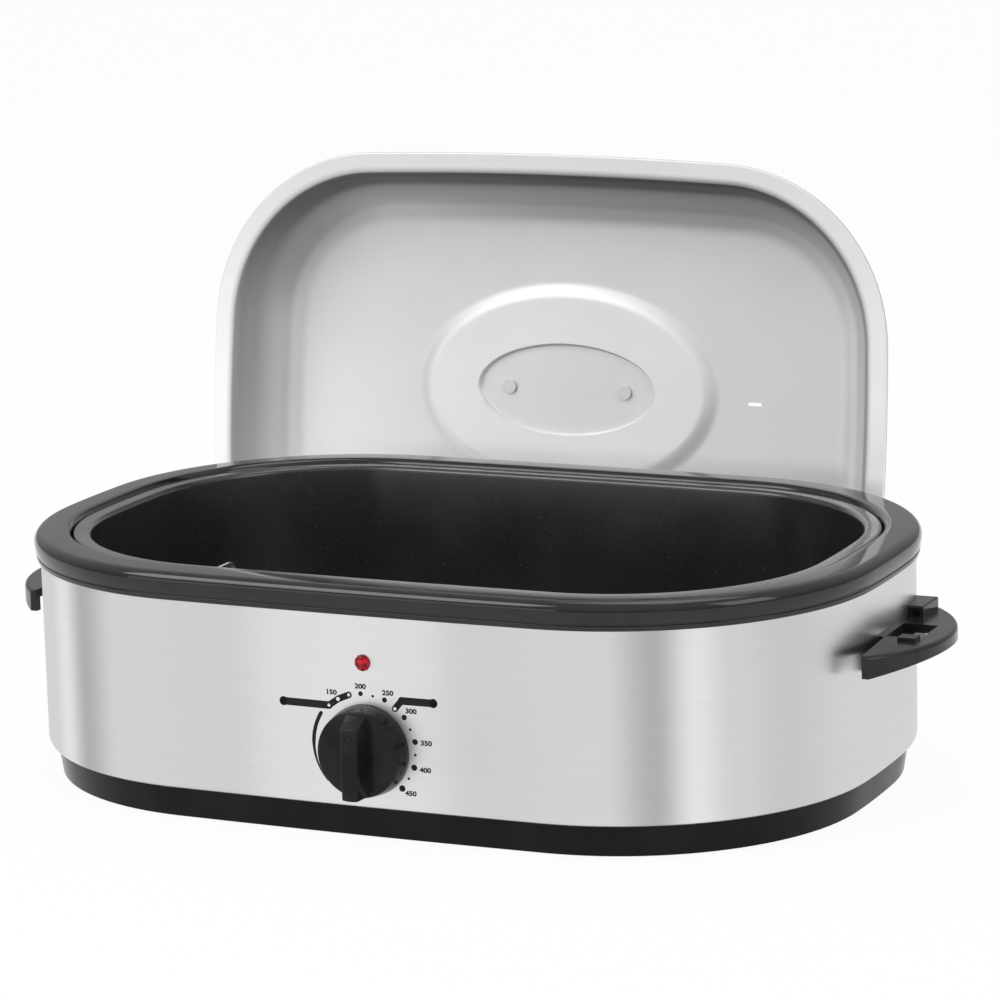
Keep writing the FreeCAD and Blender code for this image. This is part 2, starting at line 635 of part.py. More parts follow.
def handle(label, side):
    """Moulded D handle on a root block: rounded plate with a band below its edge, a rest
    slot for the lid's rim, a ledge before the slot and a raised tab behind it."""
    body = new_body(label, z="handle_foot")
    face, top = "half_length - wrap_inset", "handle_height"

    def plan(name, height, corners):
        return polygon(sketch(body, name, "XY_Plane", height),
                       [(f"{side} * ({x})", y) for x, y in corners])

    disc = sketch(body, "plate_shape", "XY_Plane", "band_lift")
    circle(disc, f"{side} * (half_length - handle_back)", "0", "handle_round")
    pad(body, "plate", disc, "handle_height - band_lift")
    fillet(body, "plate_edge", "2.6", lambda at, edge: at.z > val(top) - 0.01)
    grip = sketch(body, "grip_shape", "XY_Plane", "band_lift")
    circle(grip, f"{side} * (half_length - handle_back)", "0", "handle_round - handle_band")
    pocket(body, "grip_recess", grip, "handle_height - handle_plate - band_lift", reverse=True)
    nose = "half_length - handle_back + handle_round"
    under = sketch(body, "nose_shape", "XZ_Plane")
    polygon(under, [(f"{side} * ({x})", z) for x, z in
                    ((f"{face} + root_reach", "band_lift - 1"), (f"{face} + root_reach", "band_lift"),
                     (f"{nose} + 2", "band_lift + nose_lift"), (f"{nose} + 2", "band_lift - 1"))])
    pocket(body, "nose_rise", under, "3 * handle_half", symmetric=True)
    for name, way in (("near_end", "-"), ("far_end", "")):
        pocket(body, name, plan(name + "_shape", top, [
            (f"half_length - handle_back - handle_round - 2", f"{way}(handle_half)"), (f"{nose} + 2", f"{way}(handle_half)"),
            (f"{nose} + 2", f"{way}(handle_round + 2)"),
            (f"half_length - handle_back - handle_round - 2", f"{way}(handle_round + 2)")]), "2 * handle_height", symmetric=True)
    pocket(body, "stand_off_gap", plan("gap_shape", top, [
        (f"{face} - handle_half", "-handle_half - 2"), (f"{face} + stand_off", "-handle_half - 2"),
        (f"{face} + stand_off", "-handle_half"),
        (f"{face} + rest_slot_start", "-rest_slot_near - rest_ledge"),
        (f"{face} - handle_half", "-rest_slot_near - rest_ledge")]), "2 * handle_height",
        symmetric=True)
    pad(body, "root", plan("root_shape", "0", [
        (f"{face} - root_reach", "-root_half"), (f"{face} + root_reach", "-root_half"),
        (f"{face} + root_reach", "root_half"), (f"{face} - root_reach", "root_half")]),
        "root_height")
    pocket(body, "rest_slot", plan("slot_shape", top, [
        (f"{face} + rest_slot_start", "-rest_slot_near"), (f"{face} + rest_slot_reach", "-rest_slot_near"),
        (f"{face} + rest_slot_reach", "rest_slot_far"), (f"{face} + rest_slot_start", "rest_slot_far")]),
        "handle_plate")
    pad(body, "rest_ledge", plan("ledge_shape", "handle_height - 1", [
        (f"{face} + rest_ledge_start", "-rest_slot_near - rest_ledge_width"),
        (f"{face} + rest_slot_reach", "-rest_slot_near - rest_ledge_width"),
        (f"{face} + rest_slot_reach", "-rest_slot_near"),
        (f"{face} + rest_ledge_start", "-rest_slot_near")]), "1 + rest_ledge")
    pad(body, "rest_tab", plan("tab_shape", "handle_height - 1", [
        (f"{face} - root_reach", "rest_tab_near"), (f"{face} + rest_tab_reach", "rest_tab_near"),
        (f"{face} + rest_tab_reach", "rest_tab_far"), (f"{face} - root_reach", "rest_tab_far")]),
        "1 + rest_tab_height")
    tunnel = sketch(body, "tunnel_shape", "XZ_Plane")
    roof = "handle_height + rest_tab_height - rest_tab_wall"
    polygon(tunnel, [(f"{side} * ({x})", z) for x, z in (
        (f"{face} + rest_tab_wall", top), (f"{face} + rest_tab_reach - rest_tab_wall", top),
        (f"{face} + rest_tab_reach - rest_tab_wall", roof), (f"{face} + rest_tab_wall", roof))])
    pocket(body, "tab_tunnel", tunnel, "3 * handle_half", symmetric=True)
    fillet(body, "tab_edge", "1.2", lambda at, edge:
           at.z > val("handle_height + rest_tab_height") - 0.01)
    bores = sketch(body, "screw_bores", "YZ_Plane", f"{side} * ({face} - 20)")
    for y_side in (1, -1):
        circle(bores, f"{y_side} * handle_screw_y", "root_height / 2",
               "screw_radius + running_gap")
    pocket(body, "bores", bores, "25.5", reverse=side > 0)
    return trimmed(label, body, "wrap_inset - seat")


def trimmed(label, body, inset):
    """Cut a body back to the wrap's curved outside."""
    core = doc.addObject("Part::Feature", label + "_core")
    core.Shape = slab(BODY_OUTLINE, val(inset), 0, val("rim_top"))
    core.Placement.Base = V(0, val("centre_y"), 0)
    body.Label = label + "_block"
    cut = doc.addObject("Part::Cut", label)
    cut.Base = body
    cut.Tool = core
    cut.Label = label
    doc.recompute()
    return cut


def outline_reach(start, way, inset):
    """Distance from a point inside the body outline to its inset wire, along X or Y."""
    probe = Part.makeLine(start, start + way * (2 * val("half_length")))
    met = outline_wire(BODY_OUTLINE, inset).distToShape(probe)[1][0][0]
    return (met - start).Length


def side_reach(y, inset):
    """X of the body's side at a y."""
    return outline_reach(V(0, y, 0), V(1, 0, 0), inset)


def backing_plates():
    """Two steel plates inside the wrap that the handle screws pull against."""
    outer = slab(BODY_OUTLINE, val("wrap_inset + wrap_wall + seat"),
                 handle_screw_height() - 9, handle_screw_height() + 9)
    inner = slab(BODY_OUTLINE, val("wrap_inset + wrap_wall + seat + 1.5"), 0, val("rim_top"))
    half = val("handle_screw_y") + 10
    plates = []
    for side in (1, -1):
        corner = V(-half, -half, -half)
        window = Part.makeBox(2 * half, 2 * half, 2 * half, corner)
        window.translate(V(side * val("half_length"), 0, handle_screw_height()))
        plate = outer.cut(inner).common(window)
        for y_side in (1, -1):
            plate = plate.cut(side_bore(side, y_side * val("handle_screw_y"),
                                        handle_screw_height()))
        plates.append(plate)
    return shape_part("backing_plates", Part.makeCompound(plates))


def handle_screws():
    screws = []
    for side in (1, -1):
        for y_side in (1, -1):
            y, z = y_side * val("handle_screw_y"), handle_screw_height()
            face = side_reach(y + y_side * 3.4, val("wrap_inset + wrap_wall + seat + 1.5 + seat"))
            screws.append(screw(V(side * face, y, z), V(side, 0, 0), 7.5, 3.4))
    return shape_part("handle_screws", Part.makeCompound(screws))


# ---------------------------------------------------------------- electrics

def cord_gland():
    """Flanged bush in the back of the wrap where the cord enters."""
    body = new_body("cord_gland", "gland_x", "half_depth - wrap_inset",
                    "gland_z", FACING_BACK)
    half = sketch(body, "gland_half", "XZ_Plane")
    polygon(half, [("3.6", "gland_proud"), ("gland_radius - 2", "gland_proud"),
                   ("gland_radius", "gland_proud / 2"),
                   ("gland_radius", "0"), ("gland_radius - 1.8", "0"),
                   ("gland_radius - 1.8", "-2.6"), ("gland_radius - 0.8", "-3.2"),
                   ("gland_radius - 1.8", "-6"), ("3.6", "-6")])
    revolve(body, "bush", half)
    return body


def terminal_block():
    body = new_body("terminal_block", "block_x", "block_y", "foot_height + base_wall + seat")
    face = sketch(body, "block_face", "XY_Plane")
    polygon(face, [("-block_length / 2", "-block_width / 2"), ("block_length / 2", "-block_width / 2"),
                   ("block_length / 2", "block_width / 2"), ("-block_length / 2", "block_width / 2")])
    pad(body, "block", face, "block_height")
    fillet(body, "block_corners", "2", lambda at, edge: upright(edge))
    wells = sketch(body, "wells", "XY_Plane", "block_height")
    for column in (-1, 0, 1):
        for row in (-1, 1):
            circle(wells, f"{column} * block_length / 3.4", f"{row} * block_width / 4", "block_well")
    pocket(body, "screw_wells", wells, "2 * block_well")
    return body


def thermal_fuse():
    """Cut-out fuse clipped under the well's floor."""
    low, middle = val("well_floor") - val("seat"), -val("fuse_x")
    radius, half, leg = val("fuse_radius"), val("fuse_half"), val("fuse_leg")
    height, width = low - val("fuse_drop"), val("clip_width")
    can = rod(V(middle - half, 0, height), V(middle + half, 0, height), radius)
    legs = [rod(V(middle - side * half, 0, height), V(middle - side * (half + leg), 0, height), 0.8)
            for side in (1, -1)]
    clip = Part.makeBox(width, 2 * width, 1.6, V(middle - width / 2, -width, low - 1.6))
    strap = Part.makeBox(width, 2 * radius + 2.4, val("fuse_drop") + radius,
                         V(middle - width / 2, -radius - 1.2, height - radius - 1.6))
    return shape_part("thermal_fuse", can.fuse(legs + [clip, strap]).removeSplitter())


# ---------------------------------------------------------------- pan and rack

def roasting_pan():
    """Deep-drawn pan whose turned-down lip hangs on the rim's ledge."""
    foot = "rim_top - rim_drop + pan_gap"
    top = "rim_top - pan_proud"
    lip, inner = "rim_flange + 3.2", "rim_flange + 3.2 + pan_bead"
    low = "pan_inset + well_lean"
    shape = vessel(BODY_OUTLINE, [
        ("pan_inset + 70", "pan_floor + pan_wall"),
        (f"{low} + pan_wall", "pan_floor + pan_wall", "pan_radius - pan_wall"),
        (f"{inner} + 1", top, "3"), (lip, top, "3"), (lip, foot),
        (f"{lip} + pan_wall", foot), (f"{lip} + pan_wall", f"{top} - pan_wall", "1.8"),
        (f"{inner} - 0.2", f"{top} - pan_wall", "1.8"), (low, "pan_floor", "pan_radius"),
        ("pan_inset + 70", "pan_floor")])
    return shape_part("roasting_pan", shape)


def wire_path(points, radius, bend):
    """Round wire along straight runs joined by tangent arcs."""
    edges, last = [], points[0]
    for before, tip, after in zip(points, points[1:], points[2:]):
        back, ahead = (before - tip).normalize(), (after - tip).normalize()
        half = back.getAngle(ahead) / 2
        run = bend / math.tan(half)
        middle = tip + (back + ahead).normalize() * (bend / math.sin(half) - bend)
        edges.append(Part.makeLine(last, tip + back * run))
        edges.append(Part.Arc(tip + back * run, middle, tip + ahead * run).toShape())
        last = tip + ahead * run
    edges.append(Part.makeLine(last, points[-1]))
    path = Part.Wire(edges)
    start = edges[0]
    disc = Part.Wire(Part.makeCircle(radius, points[0], start.tangentAt(start.FirstParameter)))
    return path.makePipeShell([disc], True, False)


def rack_height():
    """Height of the middle of the rack's frame wire."""
    return val("pan_floor + pan_wall + pan_gap + rack_lift")


def rack_frame():
    """Thick wire bent round to the pan's outline."""
    discs = [Part.Wire(Part.makeCircle(val("rack_wire / 2"), V(reach - val("rack_inset"), 0, rack_height()),
                                       V(0, 1, 0))) for _, reach, _, _ in BODY_OUTLINE]
    return shape_part("rack_frame", swept(BODY_OUTLINE, discs))


def rack_rods():
    """Cross rods laid on the frame, two long rods under them, and four short feet."""
    radius, gap, inset = val("rack_rod / 2"), val("running_gap"), val("rack_inset")
    cross = rack_height() + val("rack_wire / 2") + radius + gap
    low = cross - 2 * radius - gap
    floor = val("pan_floor + pan_wall + pan_gap")
    x_half, y_half = val("half_length") - inset, val("half_depth") - inset
    span, count = x_half - val("rack_end"), int(val("rack_rods"))
    rods = []
    for i in range(count):
        x = span * (2 * i / (count - 1) - 1)
        reach = outline_reach(V(x, 0, 0), V(0, 1, 0), inset) + radius
        rods.append(rod(V(x, -reach, cross), V(x, reach, cross), radius))
    for y in (-0.5 * y_half, 0.5 * y_half):
        reach = side_reach(abs(y) + radius, inset + val("rack_wire / 2") + gap)
        rods.append(rod(V(-reach, y, low), V(reach, y, low), radius))
        for x in (-0.6 * x_half, 0.6 * x_half):
            rods.append(rod(V(x, y, floor), V(x, y, low - radius - gap), radius))
    return shape_part("rack_rods", Part.makeCompound(rods))


def rack_loops():
    """A lifting loop of wire at each end, its two feet on the frame."""
    radius, half, gap = val("rack_rod / 2"), val("loop_width / 2"), val("running_gap")
    foot = rack_height() + val("rack_wire / 2") + gap
    top = rack_height() + val("loop_height")
    reach = side_reach(half, val("rack_inset"))
    loops = []
    for side in (1, -1):
        corners = [V(side * (reach + lean), y, z) for lean, y, z in
                   ((0, -half, foot), (2, -half, top), (2, half, top), (0, half, foot))]
        loops.append(wire_path(corners, radius, 4 * val("rack_rod")))
    return shape_part("rack_loops", Part.makeCompound(loops))


# ---------------------------------------------------------------- lid

def lid_foot_y():
    """Y of the lid's foot: its edge tucks in under the wrap's hem, by the base."""
    return -front_y("wrap_inset") - val("lid_tuck")


def lid_place():
    """Lid stands on its long edge behind the body, its hollow side to the front."""
    tilt = math.radians(val("lid_tilt"))
    half, edge, turned = val("lid_half_width"), val("lid_bead"), val("bead_round")
    base = V(val("lid_x"), val("centre_y") + lid_foot_y() + half * math.sin(tilt),
             (half - turned) * math.cos(tilt) + (edge - turned) * math.sin(tilt) + turned)
    return base, FreeCAD.Rotation(V(1, 0, 0), -90 - val("lid_tilt"))


def oval(long_half, short_half, height):
    curve = Part.Ellipse(V(long_half, -val("oval_shift"), height),
                         V(0, short_half - val("oval_shift"), height),
                         V(0, -val("oval_shift"), height))
    return Part.Wire(curve.toShape())


def oval_step(long_half, short_half, foot, top, lean):
    """Solid between two ovals, the lower one smaller by the lean."""
    return Part.makeLoft([oval(long_half - lean, short_half - lean, foot),
                          oval(long_half, short_half, top)], True, True)


def lid_shell():
    """Drawn lid: beaded flange, deep rounded wall and a stepped oval panel."""
    depth, sheet_wall, rise = val("lid_depth"), val("lid_sheet"), val("oval_rise")
    lean = "lid_flange + lid_wall_lean"
    shape = vessel(LID_OUTLINE, [
        (f"{lean} + 40", "lid_depth"), (lean, "lid_depth", "26"), ("lid_flange", "0", "6"),
        ("0", "0", "1.2"), ("0", "lid_bead", "bead_round"), ("lid_bead", "lid_bead", "0.8"),
        ("lid_bead", "lid_sheet"), ("lid_flange - 0.8", "lid_sheet", "5"),
        (f"{lean} - 0.8", "lid_depth + lid_sheet", "27"), (f"{lean} + 40", "lid_depth + lid_sheet")])
    long_half, short_half = val("oval_long"), val("oval_short")
    seat_long, seat_short = val("seat_long"), val("seat_short")
    top = depth + sheet_wall
    panel = shape.fuse(oval_step(long_half, short_half, depth - rise, top, rise + sheet_wall))
    hollow = oval_step(long_half - 1.6, short_half - 1.6, top - rise, top + 0.01, rise)
    island = oval_step(seat_long + rise + sheet_wall, seat_short + rise + sheet_wall,
                       top - rise, top, 0)
    panel = panel.cut(hollow.cut(island))
    shape = panel.cut(oval_step(seat_long, seat_short, depth - rise - 0.01, depth, 0))
    slot = Part.makeBox(10, 3, 20, V(val("vent_slot_x") - 5, val("vent_slot_y") - 1.5, depth - 10))
    for x in (-val("lid_screw_x"), val("lid_screw_x")):
        at = V(x, -val("oval_shift"), depth - 8)
        shape = shape.cut(rod(at, at + V(0, 0, 20), val("screw_radius + seat")))
    base, turn = lid_place()
    return shape_part("lid_shell", shape.cut(slot), base, turn)


def lid_handle():
    """Arched grip on the outside of the dome."""
    base, turn = lid_place()
    body = doc.addObject("PartDesign::Body", "lid_handle")
    body.Label = "lid_handle"
    arch = sketch(body, "arch", "XZ_Plane")
    half, foot, top = "lid_handle_length / 2", "0", "lid_handle_height"
    polygon(arch, [
        (f"-({half})", foot), (f"-({half}) + lid_post", foot),
        (f"-({half}) + lid_post + 6", f"{top} - lid_handle_bar"),
        (f"{half} - lid_post - 6", f"{top} - lid_handle_bar"), (f"{half} - lid_post", foot),
        (half, foot), (f"{half} - 8", f"{top} - 4"), (f"{half} - 16", top),
        (f"-({half}) + 16", top), (f"-({half}) + 8", f"{top} - 4")])
    pad(body, "grip", arch, "lid_handle_width", symmetric=True)
    fillet(body, "grip_edge", "3", lambda at, edge: at.z > val(top) - 3
           and abs(at.y) > val("lid_handle_width") / 2 - 0.01)
    bores = sketch(body, "bores", "XY_Plane")
    for x_side in (1, -1):
        circle(bores, f"{x_side} * lid_screw_x", "0", "screw_radius + running_gap")
    pocket(body, "screw_bores", bores, "9", reverse=True)
    rise = V(0, -val("oval_shift"), val("lid_depth + lid_sheet + seat"))
    body.Placement = FreeCAD.Placement(base + turn.multVec(rise), turn)
    return body


def lid_handle_screws():
    base, turn = lid_place()
    depth = val("lid_depth") - val("seat")
    screws = [screw(V(side * val("lid_screw_x"), -val("oval_shift"), depth), V(0, 0, 1), 8, 4.5)
              for side in (-1, 1)]
    return shape_part("lid_handle_screws", Part.makeCompound(screws), base, turn)


PIECES = [
    base_skirt, outer_wrap, top_rim, heating_well, heater_band, heater_clamps,
    insulation_blanket, feet, foot_screws, tie_brackets, tie_screws, thermostat, bushing_nut,
    knob_spindle, control_knob, indicator_lens, indicator_lamp,
    lambda: handle("right_handle", 1), lambda: handle("left_handle", -1),
    backing_plates, handle_screws, cord_gland, terminal_block, thermal_fuse,
    roasting_pan, rack_frame, rack_rods, rack_loops, lid_shell, lid_handle, lid_handle_screws,
]

made = [build() for build in PIECES]
doc.recompute()

for thing in doc.Objects:
    if "Invalid" in thing.State or "Error" in thing.State:
        raise RuntimeError(f"{thing.Label} did not build")

for part in made:
    if part.Shape.isNull() or not part.Shape.isValid():
        raise RuntimeError(f"{part.Label} has no valid shape")
    part.Shape.exportStep(f"parts/{part.Label}.step")
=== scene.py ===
import math

import bmesh
import bpy
from mathutils import Matrix, Vector
from mathutils.bvhtree import BVHTree


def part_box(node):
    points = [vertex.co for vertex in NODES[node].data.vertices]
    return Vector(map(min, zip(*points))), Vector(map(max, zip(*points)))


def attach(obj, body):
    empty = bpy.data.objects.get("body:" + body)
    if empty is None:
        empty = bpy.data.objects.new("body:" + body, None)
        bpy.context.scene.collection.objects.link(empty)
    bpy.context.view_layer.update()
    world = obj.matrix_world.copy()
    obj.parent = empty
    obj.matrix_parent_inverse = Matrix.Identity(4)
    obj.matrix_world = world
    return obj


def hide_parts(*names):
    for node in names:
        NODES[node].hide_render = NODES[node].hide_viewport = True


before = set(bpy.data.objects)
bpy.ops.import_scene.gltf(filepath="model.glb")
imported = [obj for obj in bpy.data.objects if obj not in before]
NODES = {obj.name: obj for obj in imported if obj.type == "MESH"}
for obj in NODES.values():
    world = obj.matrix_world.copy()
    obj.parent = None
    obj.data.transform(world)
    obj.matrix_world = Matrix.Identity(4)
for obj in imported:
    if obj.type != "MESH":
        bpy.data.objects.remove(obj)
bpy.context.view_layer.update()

bl_info = {
    "name": "Electric Roaster Oven Dressing",
    "version": (1, 0, 0),
    "blender": (4, 5, 0),
    "location": "View3D > Sidebar > Roaster",
    "description": "Finishes and detailed pieces for an electric roaster oven",
    "category": "Object",
}

RIM_LOW, RIM_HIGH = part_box("top_rim")
KNOB_LOW, KNOB_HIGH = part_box("control_knob")
LENS_LOW, LENS_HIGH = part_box("indicator_lens")
LENS_DOME = 0.0032          # how far the lens bulges out of its collar
WRAP_REACH = 0.26           # half the wrap's length, over which its painted reflection bands lie
BAR_STEP = 0.0003           # the thumb bar's front lies this far under its ring mark
QUARTER = math.radians(90)
UPRIGHT = Matrix.Rotation(QUARTER, 4, "X")
NUMBER_PLACES = (           # text, degrees clockwise from the top, radius
    ("150", -34.5, 0.0363), ("200", -4, 0.0347), ("250", 24, 0.0351), ("300", 51, 0.0362),
    ("350", 82, 0.0372), ("400", 106, 0.0373), ("450", 132.5, 0.0361))
DOT_START, DOT_STEP = -4.5, 28.0
BETWEEN_DOTS = 9.7          # where a small dot follows a large one, in degrees


# ------------------------------------------------------------------ settings

def length(name, description, default):
    return bpy.props.FloatProperty(name=name, description=description, default=default,
                                   unit="LENGTH", precision=5)


def share(name, description, default):
    return bpy.props.FloatProperty(name=name, description=description, default=default,
                                   min=0.0, max=1.0, subtype="FACTOR")


def power(name, description, default):
    return bpy.props.FloatProperty(name=name, description=description, default=default,
                                   unit="POWER")


def place(name, description, default):
    return bpy.props.FloatVectorProperty(name=name, description=description, default=default,
                                         size=3, subtype="TRANSLATION", unit="LENGTH")


def colour(name, description, default):
    return bpy.props.FloatVectorProperty(name=name, description=description, default=default,
                                         size=3, min=0.0, max=1.0, subtype="COLOR")


class RoasterBodySettings(bpy.types.PropertyGroup):
    """Outline that the rim, the wrap and the pan follow, and their heights."""
    centre_y: length("Centre Y", "Middle of the heated body", (RIM_LOW.y + RIM_HIGH.y) / 2)
    half_length: length("Half Length", "Rim's reach along X", 0.260)
    half_depth: length("Half Depth", "Rim's reach along Y", 0.178)
    corner: length("Corner Radius", "Radius of the rim's corners", 0.150)
    long_bow: length("Long Side Radius", "Bow of the long sides", 4.0)
    short_bow: length("Short Side Radius", "Bow of the short sides", 0.75)
    rim_top: length("Rim Top", "Height of the rim", 0.1464)
    rim_flange: length("Rim Flange", "Width of the rim's flat flange", 0.021)
    fascia_foot: length("Fascia Foot", "Lower edge of the rim", 0.1299)
    wrap_inset: length("Wrap Inset", "Steel wrap behind the rim's edge", 0.0035)
    wrap_foot: length("Wrap Foot", "Lower edge of the wrap", 0.0188)
    wrap_hem: length("Wrap Hem", "How far the wrap's hem turns in", 0.013)
    pan_inset: length("Pan Inset", "Pan's floor behind the rim's edge", 0.0384)
    pan_floor: length("Pan Floor", "Height of the pan's floor", 0.031)


class RoasterLidSettings(bpy.types.PropertyGroup):
    """The lid's outline, its section and how it stands."""
    middle: place("Middle", "Middle of the flange's face", (-0.0427, 0.154605, 0.167553))
    tilt: bpy.props.FloatProperty(name="Tilt", description="Lean to the back",
                                  default=math.radians(6.75), subtype="ANGLE", unit="ROTATION")
    half_length: length("Half Length", "Reach along X", 0.231)
    half_width: length("Half Width", "Reach across", 0.1684)
    corner: length("Corner Radius", "Radius of the corners", 0.112)
    long_bow: length("Long Side Radius", "Bow of the long sides", 3.2)
    short_bow: length("Short Side Radius", "Bow of the short sides", 1.6)
    flange: length("Flange", "Width of the flat flange", 0.015)
    lean: length("Wall Lean", "How far the wall draws in", 0.010)
    depth: length("Depth", "Depth of the hollow", 0.046)
    gauge: length("Gauge", "Sheet thickness", 0.001)
    bead: length("Bead", "Height of the edge bead", 0.0032)
    oval_long: length("Oval Length", "Half length of the plateau", 0.1045)
    oval_short: length("Oval Width", "Half width of the plateau", 0.069)
    oval_rise: length("Oval Rise", "How far the plateau stands in", 0.0032)
    oval_shift: length("Oval Shift", "Plateau's shift towards the top", 0.018)
    seat_long: length("Seat Length", "Half length of the grip's seat", 0.0614)
    seat_short: length("Seat Width", "Half width of the grip's seat", 0.0295)
    slot_x: length("Slot X", "Place of the vent slot", 0.128)
    slot_y: length("Slot Y", "Place of the vent slot", -0.015)
    slot_long: length("Slot Length", "Half length of the vent slot", 0.0045)
    slot_short: length("Slot Width", "Half width of the vent slot", 0.0011)


class RoasterDialSettings(bpy.types.PropertyGroup):
    """Control knob and the plain marks round it."""
    centre_x: length("Centre X", "Middle of the dial", (KNOB_LOW.x + KNOB_HIGH.x) / 2)
    centre_z: length("Centre Z", "Height of the dial", (KNOB_LOW.z + KNOB_HIGH.z) / 2)
    back_y: length("Back Y", "Back edge of the knob's skirt", KNOB_HIGH.y)
    radius: length("Radius", "Knob's radius at the wrap", 0.0261)
    face_radius: length("Face Radius", "Radius of the knob's face", 0.0246)
    face_height: length("Face Height", "How far the face stands out", 0.011)
    height: length("Height", "How far the thumb bar stands out", 0.022)
    bar_length: length("Bar Length", "Length of the thumb bar", 0.0465)
    bar_width: length("Bar Width", "Width of the bar at its foot", 0.013)
    bar_front: length("Bar Front", "Width of the bar's front", 0.0098)
    bar_slope: length("Bar Slope", "Run of the pointer end's slope", 0.0062)
    mark_ring: length("Mark Ring", "Radius of the ring on the bar's front", 0.0024)
    mark_place: length("Mark Place", "Ring's distance above the knob's middle", 0.0113)
    print_lift: length("Print Lift", "Print's middle above the knob's", 0.0017)
    number_height: length("Number Height", "Height of the dial's numbers", 0.0028)
    dot_circle: length("Dot Circle", "Radius on which the dots lie", 0.0306)
    first_dot: length("First Dot", "Radius of the dot at the lowest number", 0.0014)
    last_dot: length("Last Dot", "Radius of the dot at the highest number", 0.0019)
    small_dot: length("Small Dot", "Radius of a dot between numbers", 0.0008)
    arc_circle: length("Arc Circle", "Radius of the low-heat arc", 0.0324)
    arc_width: length("Arc Width", "Width of the low-heat arc where it starts", 0.0023)
    band_width: length("Band Width", "Width of the printed bands", 0.0044)
    ink: length("Ink Thickness", "How far the print stands on the steel", 0.00005)


class RoasterFinishSettings(bpy.types.PropertyGroup):
    """Colours and gloss of the finishes."""
    wrap_steel: colour("Wrap Steel", "Brushed steel of the wrap", (0.70, 0.70, 0.705))
    lid_steel: colour("Lid Steel", "Satin steel of the lid", (0.8, 0.8, 0.805))
    gloss_black: colour("Gloss Black", "Rim and base", (0.008, 0.008, 0.009))
    moulding_black: colour("Moulding Black", "Handles and knob", (0.011, 0.011, 0.012))
    enamel_black: colour("Enamel Black", "Pan", (0.014, 0.014, 0.016))
    lamp_red: colour("Lamp Red", "Lens", (0.42, 0.003, 0.012))
    zinc: colour("Zinc", "Screws, nuts and brackets", (0.62, 0.63, 0.64))
    wrap_roughness: share("Wrap Roughness", "Sheen of the wrap", 0.34)
    rim_roughness: share("Rim Roughness", "Sheen of the rim", 0.07)


class RoasterStageSettings(bpy.types.PropertyGroup):
    """Camera, lamps and floor."""
    camera_place: place("Camera Place", "Where the camera stands", (1.0434, -2.2966, 0.6819))
    camera_aim: place("Camera Aim", "Point in the middle of the frame",
                      (0.0009, -0.0024, 0.1519))
    camera_roll: bpy.props.FloatProperty(
        name="Camera Roll", description="Tilt of the camera", default=-0.0261,
        subtype="ANGLE", unit="ROTATION")
    lens: bpy.props.FloatProperty(
        name="Lens", description="Focal length", default=155.87, subtype="DISTANCE_CAMERA")
    horizon: share("Horizon", "Room light from the side", 0.4)
    sky: share("Sky", "Room light from above", 0.8)
    key: power("Key", "Key lamp", 26.0)
    fill: power("Fill", "Fill lamp and top lamp", 10.0)
    low: power("Low", "Low lamp that lights the lid", 4.0)


SETTINGS = {
    "roaster_body": RoasterBodySettings,
    "roaster_lid": RoasterLidSettings,
    "roaster_dial": RoasterDialSettings,
    "roaster_finish": RoasterFinishSettings,
    "roaster_stage": RoasterStageSettings,
}


# ------------------------------------------------------------------ materials

NOISE_SPAN = (0.3, 0.7)     # the part of a noise's range that holds most of it
TONE_TOP = 1.3              # the highest factor that a tone band may have


def add_node(tree, kind, sockets=None, **settings):
    """Node whose sockets get a value, or a link where another node's output is given."""
    node = tree.nodes.new("ShaderNode" + kind)
    for name, value in settings.items():
        setattr(node, name, value)
    for name, value in (sockets or {}).items():
        if isinstance(value, bpy.types.NodeSocket):
            tree.links.new(value, node.inputs[name])
        else:
            node.inputs[name].default_value = value
    return node


def new_finish(name, tone, roughness, metallic=0.0, **sockets):
    """Material whose shader sockets hold the constants; patterns are linked afterwards."""
    material = bpy.data.materials.new(name)
    material.use_nodes = True
    shader = material.node_tree.nodes["Principled BSDF"]
    shader.inputs["Base Color"].default_value = (*tone, 1.0)
    shader.inputs["Roughness"].default_value = roughness
    shader.inputs["Metallic"].default_value = metallic
    for socket, value in sockets.items():
        shader.inputs[socket.replace("_", " ")].default_value = value
    return material


def feed(material, socket, output):
    """Link a pattern to a socket of the material's shader."""
    tree = material.node_tree
    tree.links.new(output, tree.nodes["Principled BSDF"].inputs[socket])


def mapped(tree, sockets, kind="POINT"):
    """Object coordinates, run through a Mapping node."""
    coords = add_node(tree, "TexCoord")
    mapping = add_node(tree, "Mapping", {"Vector": coords.outputs["Object"], **sockets},
                       vector_type=kind)
    return mapping.outputs["Vector"]


def grain(material, stretch, detail):
    """Noise on Object coordinates, with its own frequency along each axis."""
    tree = material.node_tree
    noise = add_node(tree, "TexNoise", {"Vector": mapped(tree, {"Scale": stretch}),
                                        "Scale": 1.0, "Detail": detail})
    return noise.outputs["Fac"]


def axis_value(material, axis, turn=(0, 0, 0), centre=(0, 0, 0)):
    """One Object coordinate, after a turn about a centre."""
    tree = material.node_tree
    vector = mapped(tree, {"Location": centre, "Rotation": turn}, "TEXTURE")
    return add_node(tree, "SeparateXYZ", {"Vector": vector}).outputs[axis]


def remap(material, value, low, high, to_low, to_high):
    """Carry a value from one span to another; it stays within the second."""
    node = add_node(material.node_tree, "MapRange", {
        "Value": value, "From Min": low, "From Max": high, "To Min": to_low, "To Max": to_high})
    return node.outputs["Result"]


def combine(material, operation, first, second):
    node = add_node(material.node_tree, "Math", {0: first, 1: second}, operation=operation)
    return node.outputs[0]


def mixed(material, first, part, second):
    """Two patterns added, the first with its part and the second with the rest."""
    return combine(material, "ADD", combine(material, "MULTIPLY", first, part),
                   combine(material, "MULTIPLY", second, 1 - part))


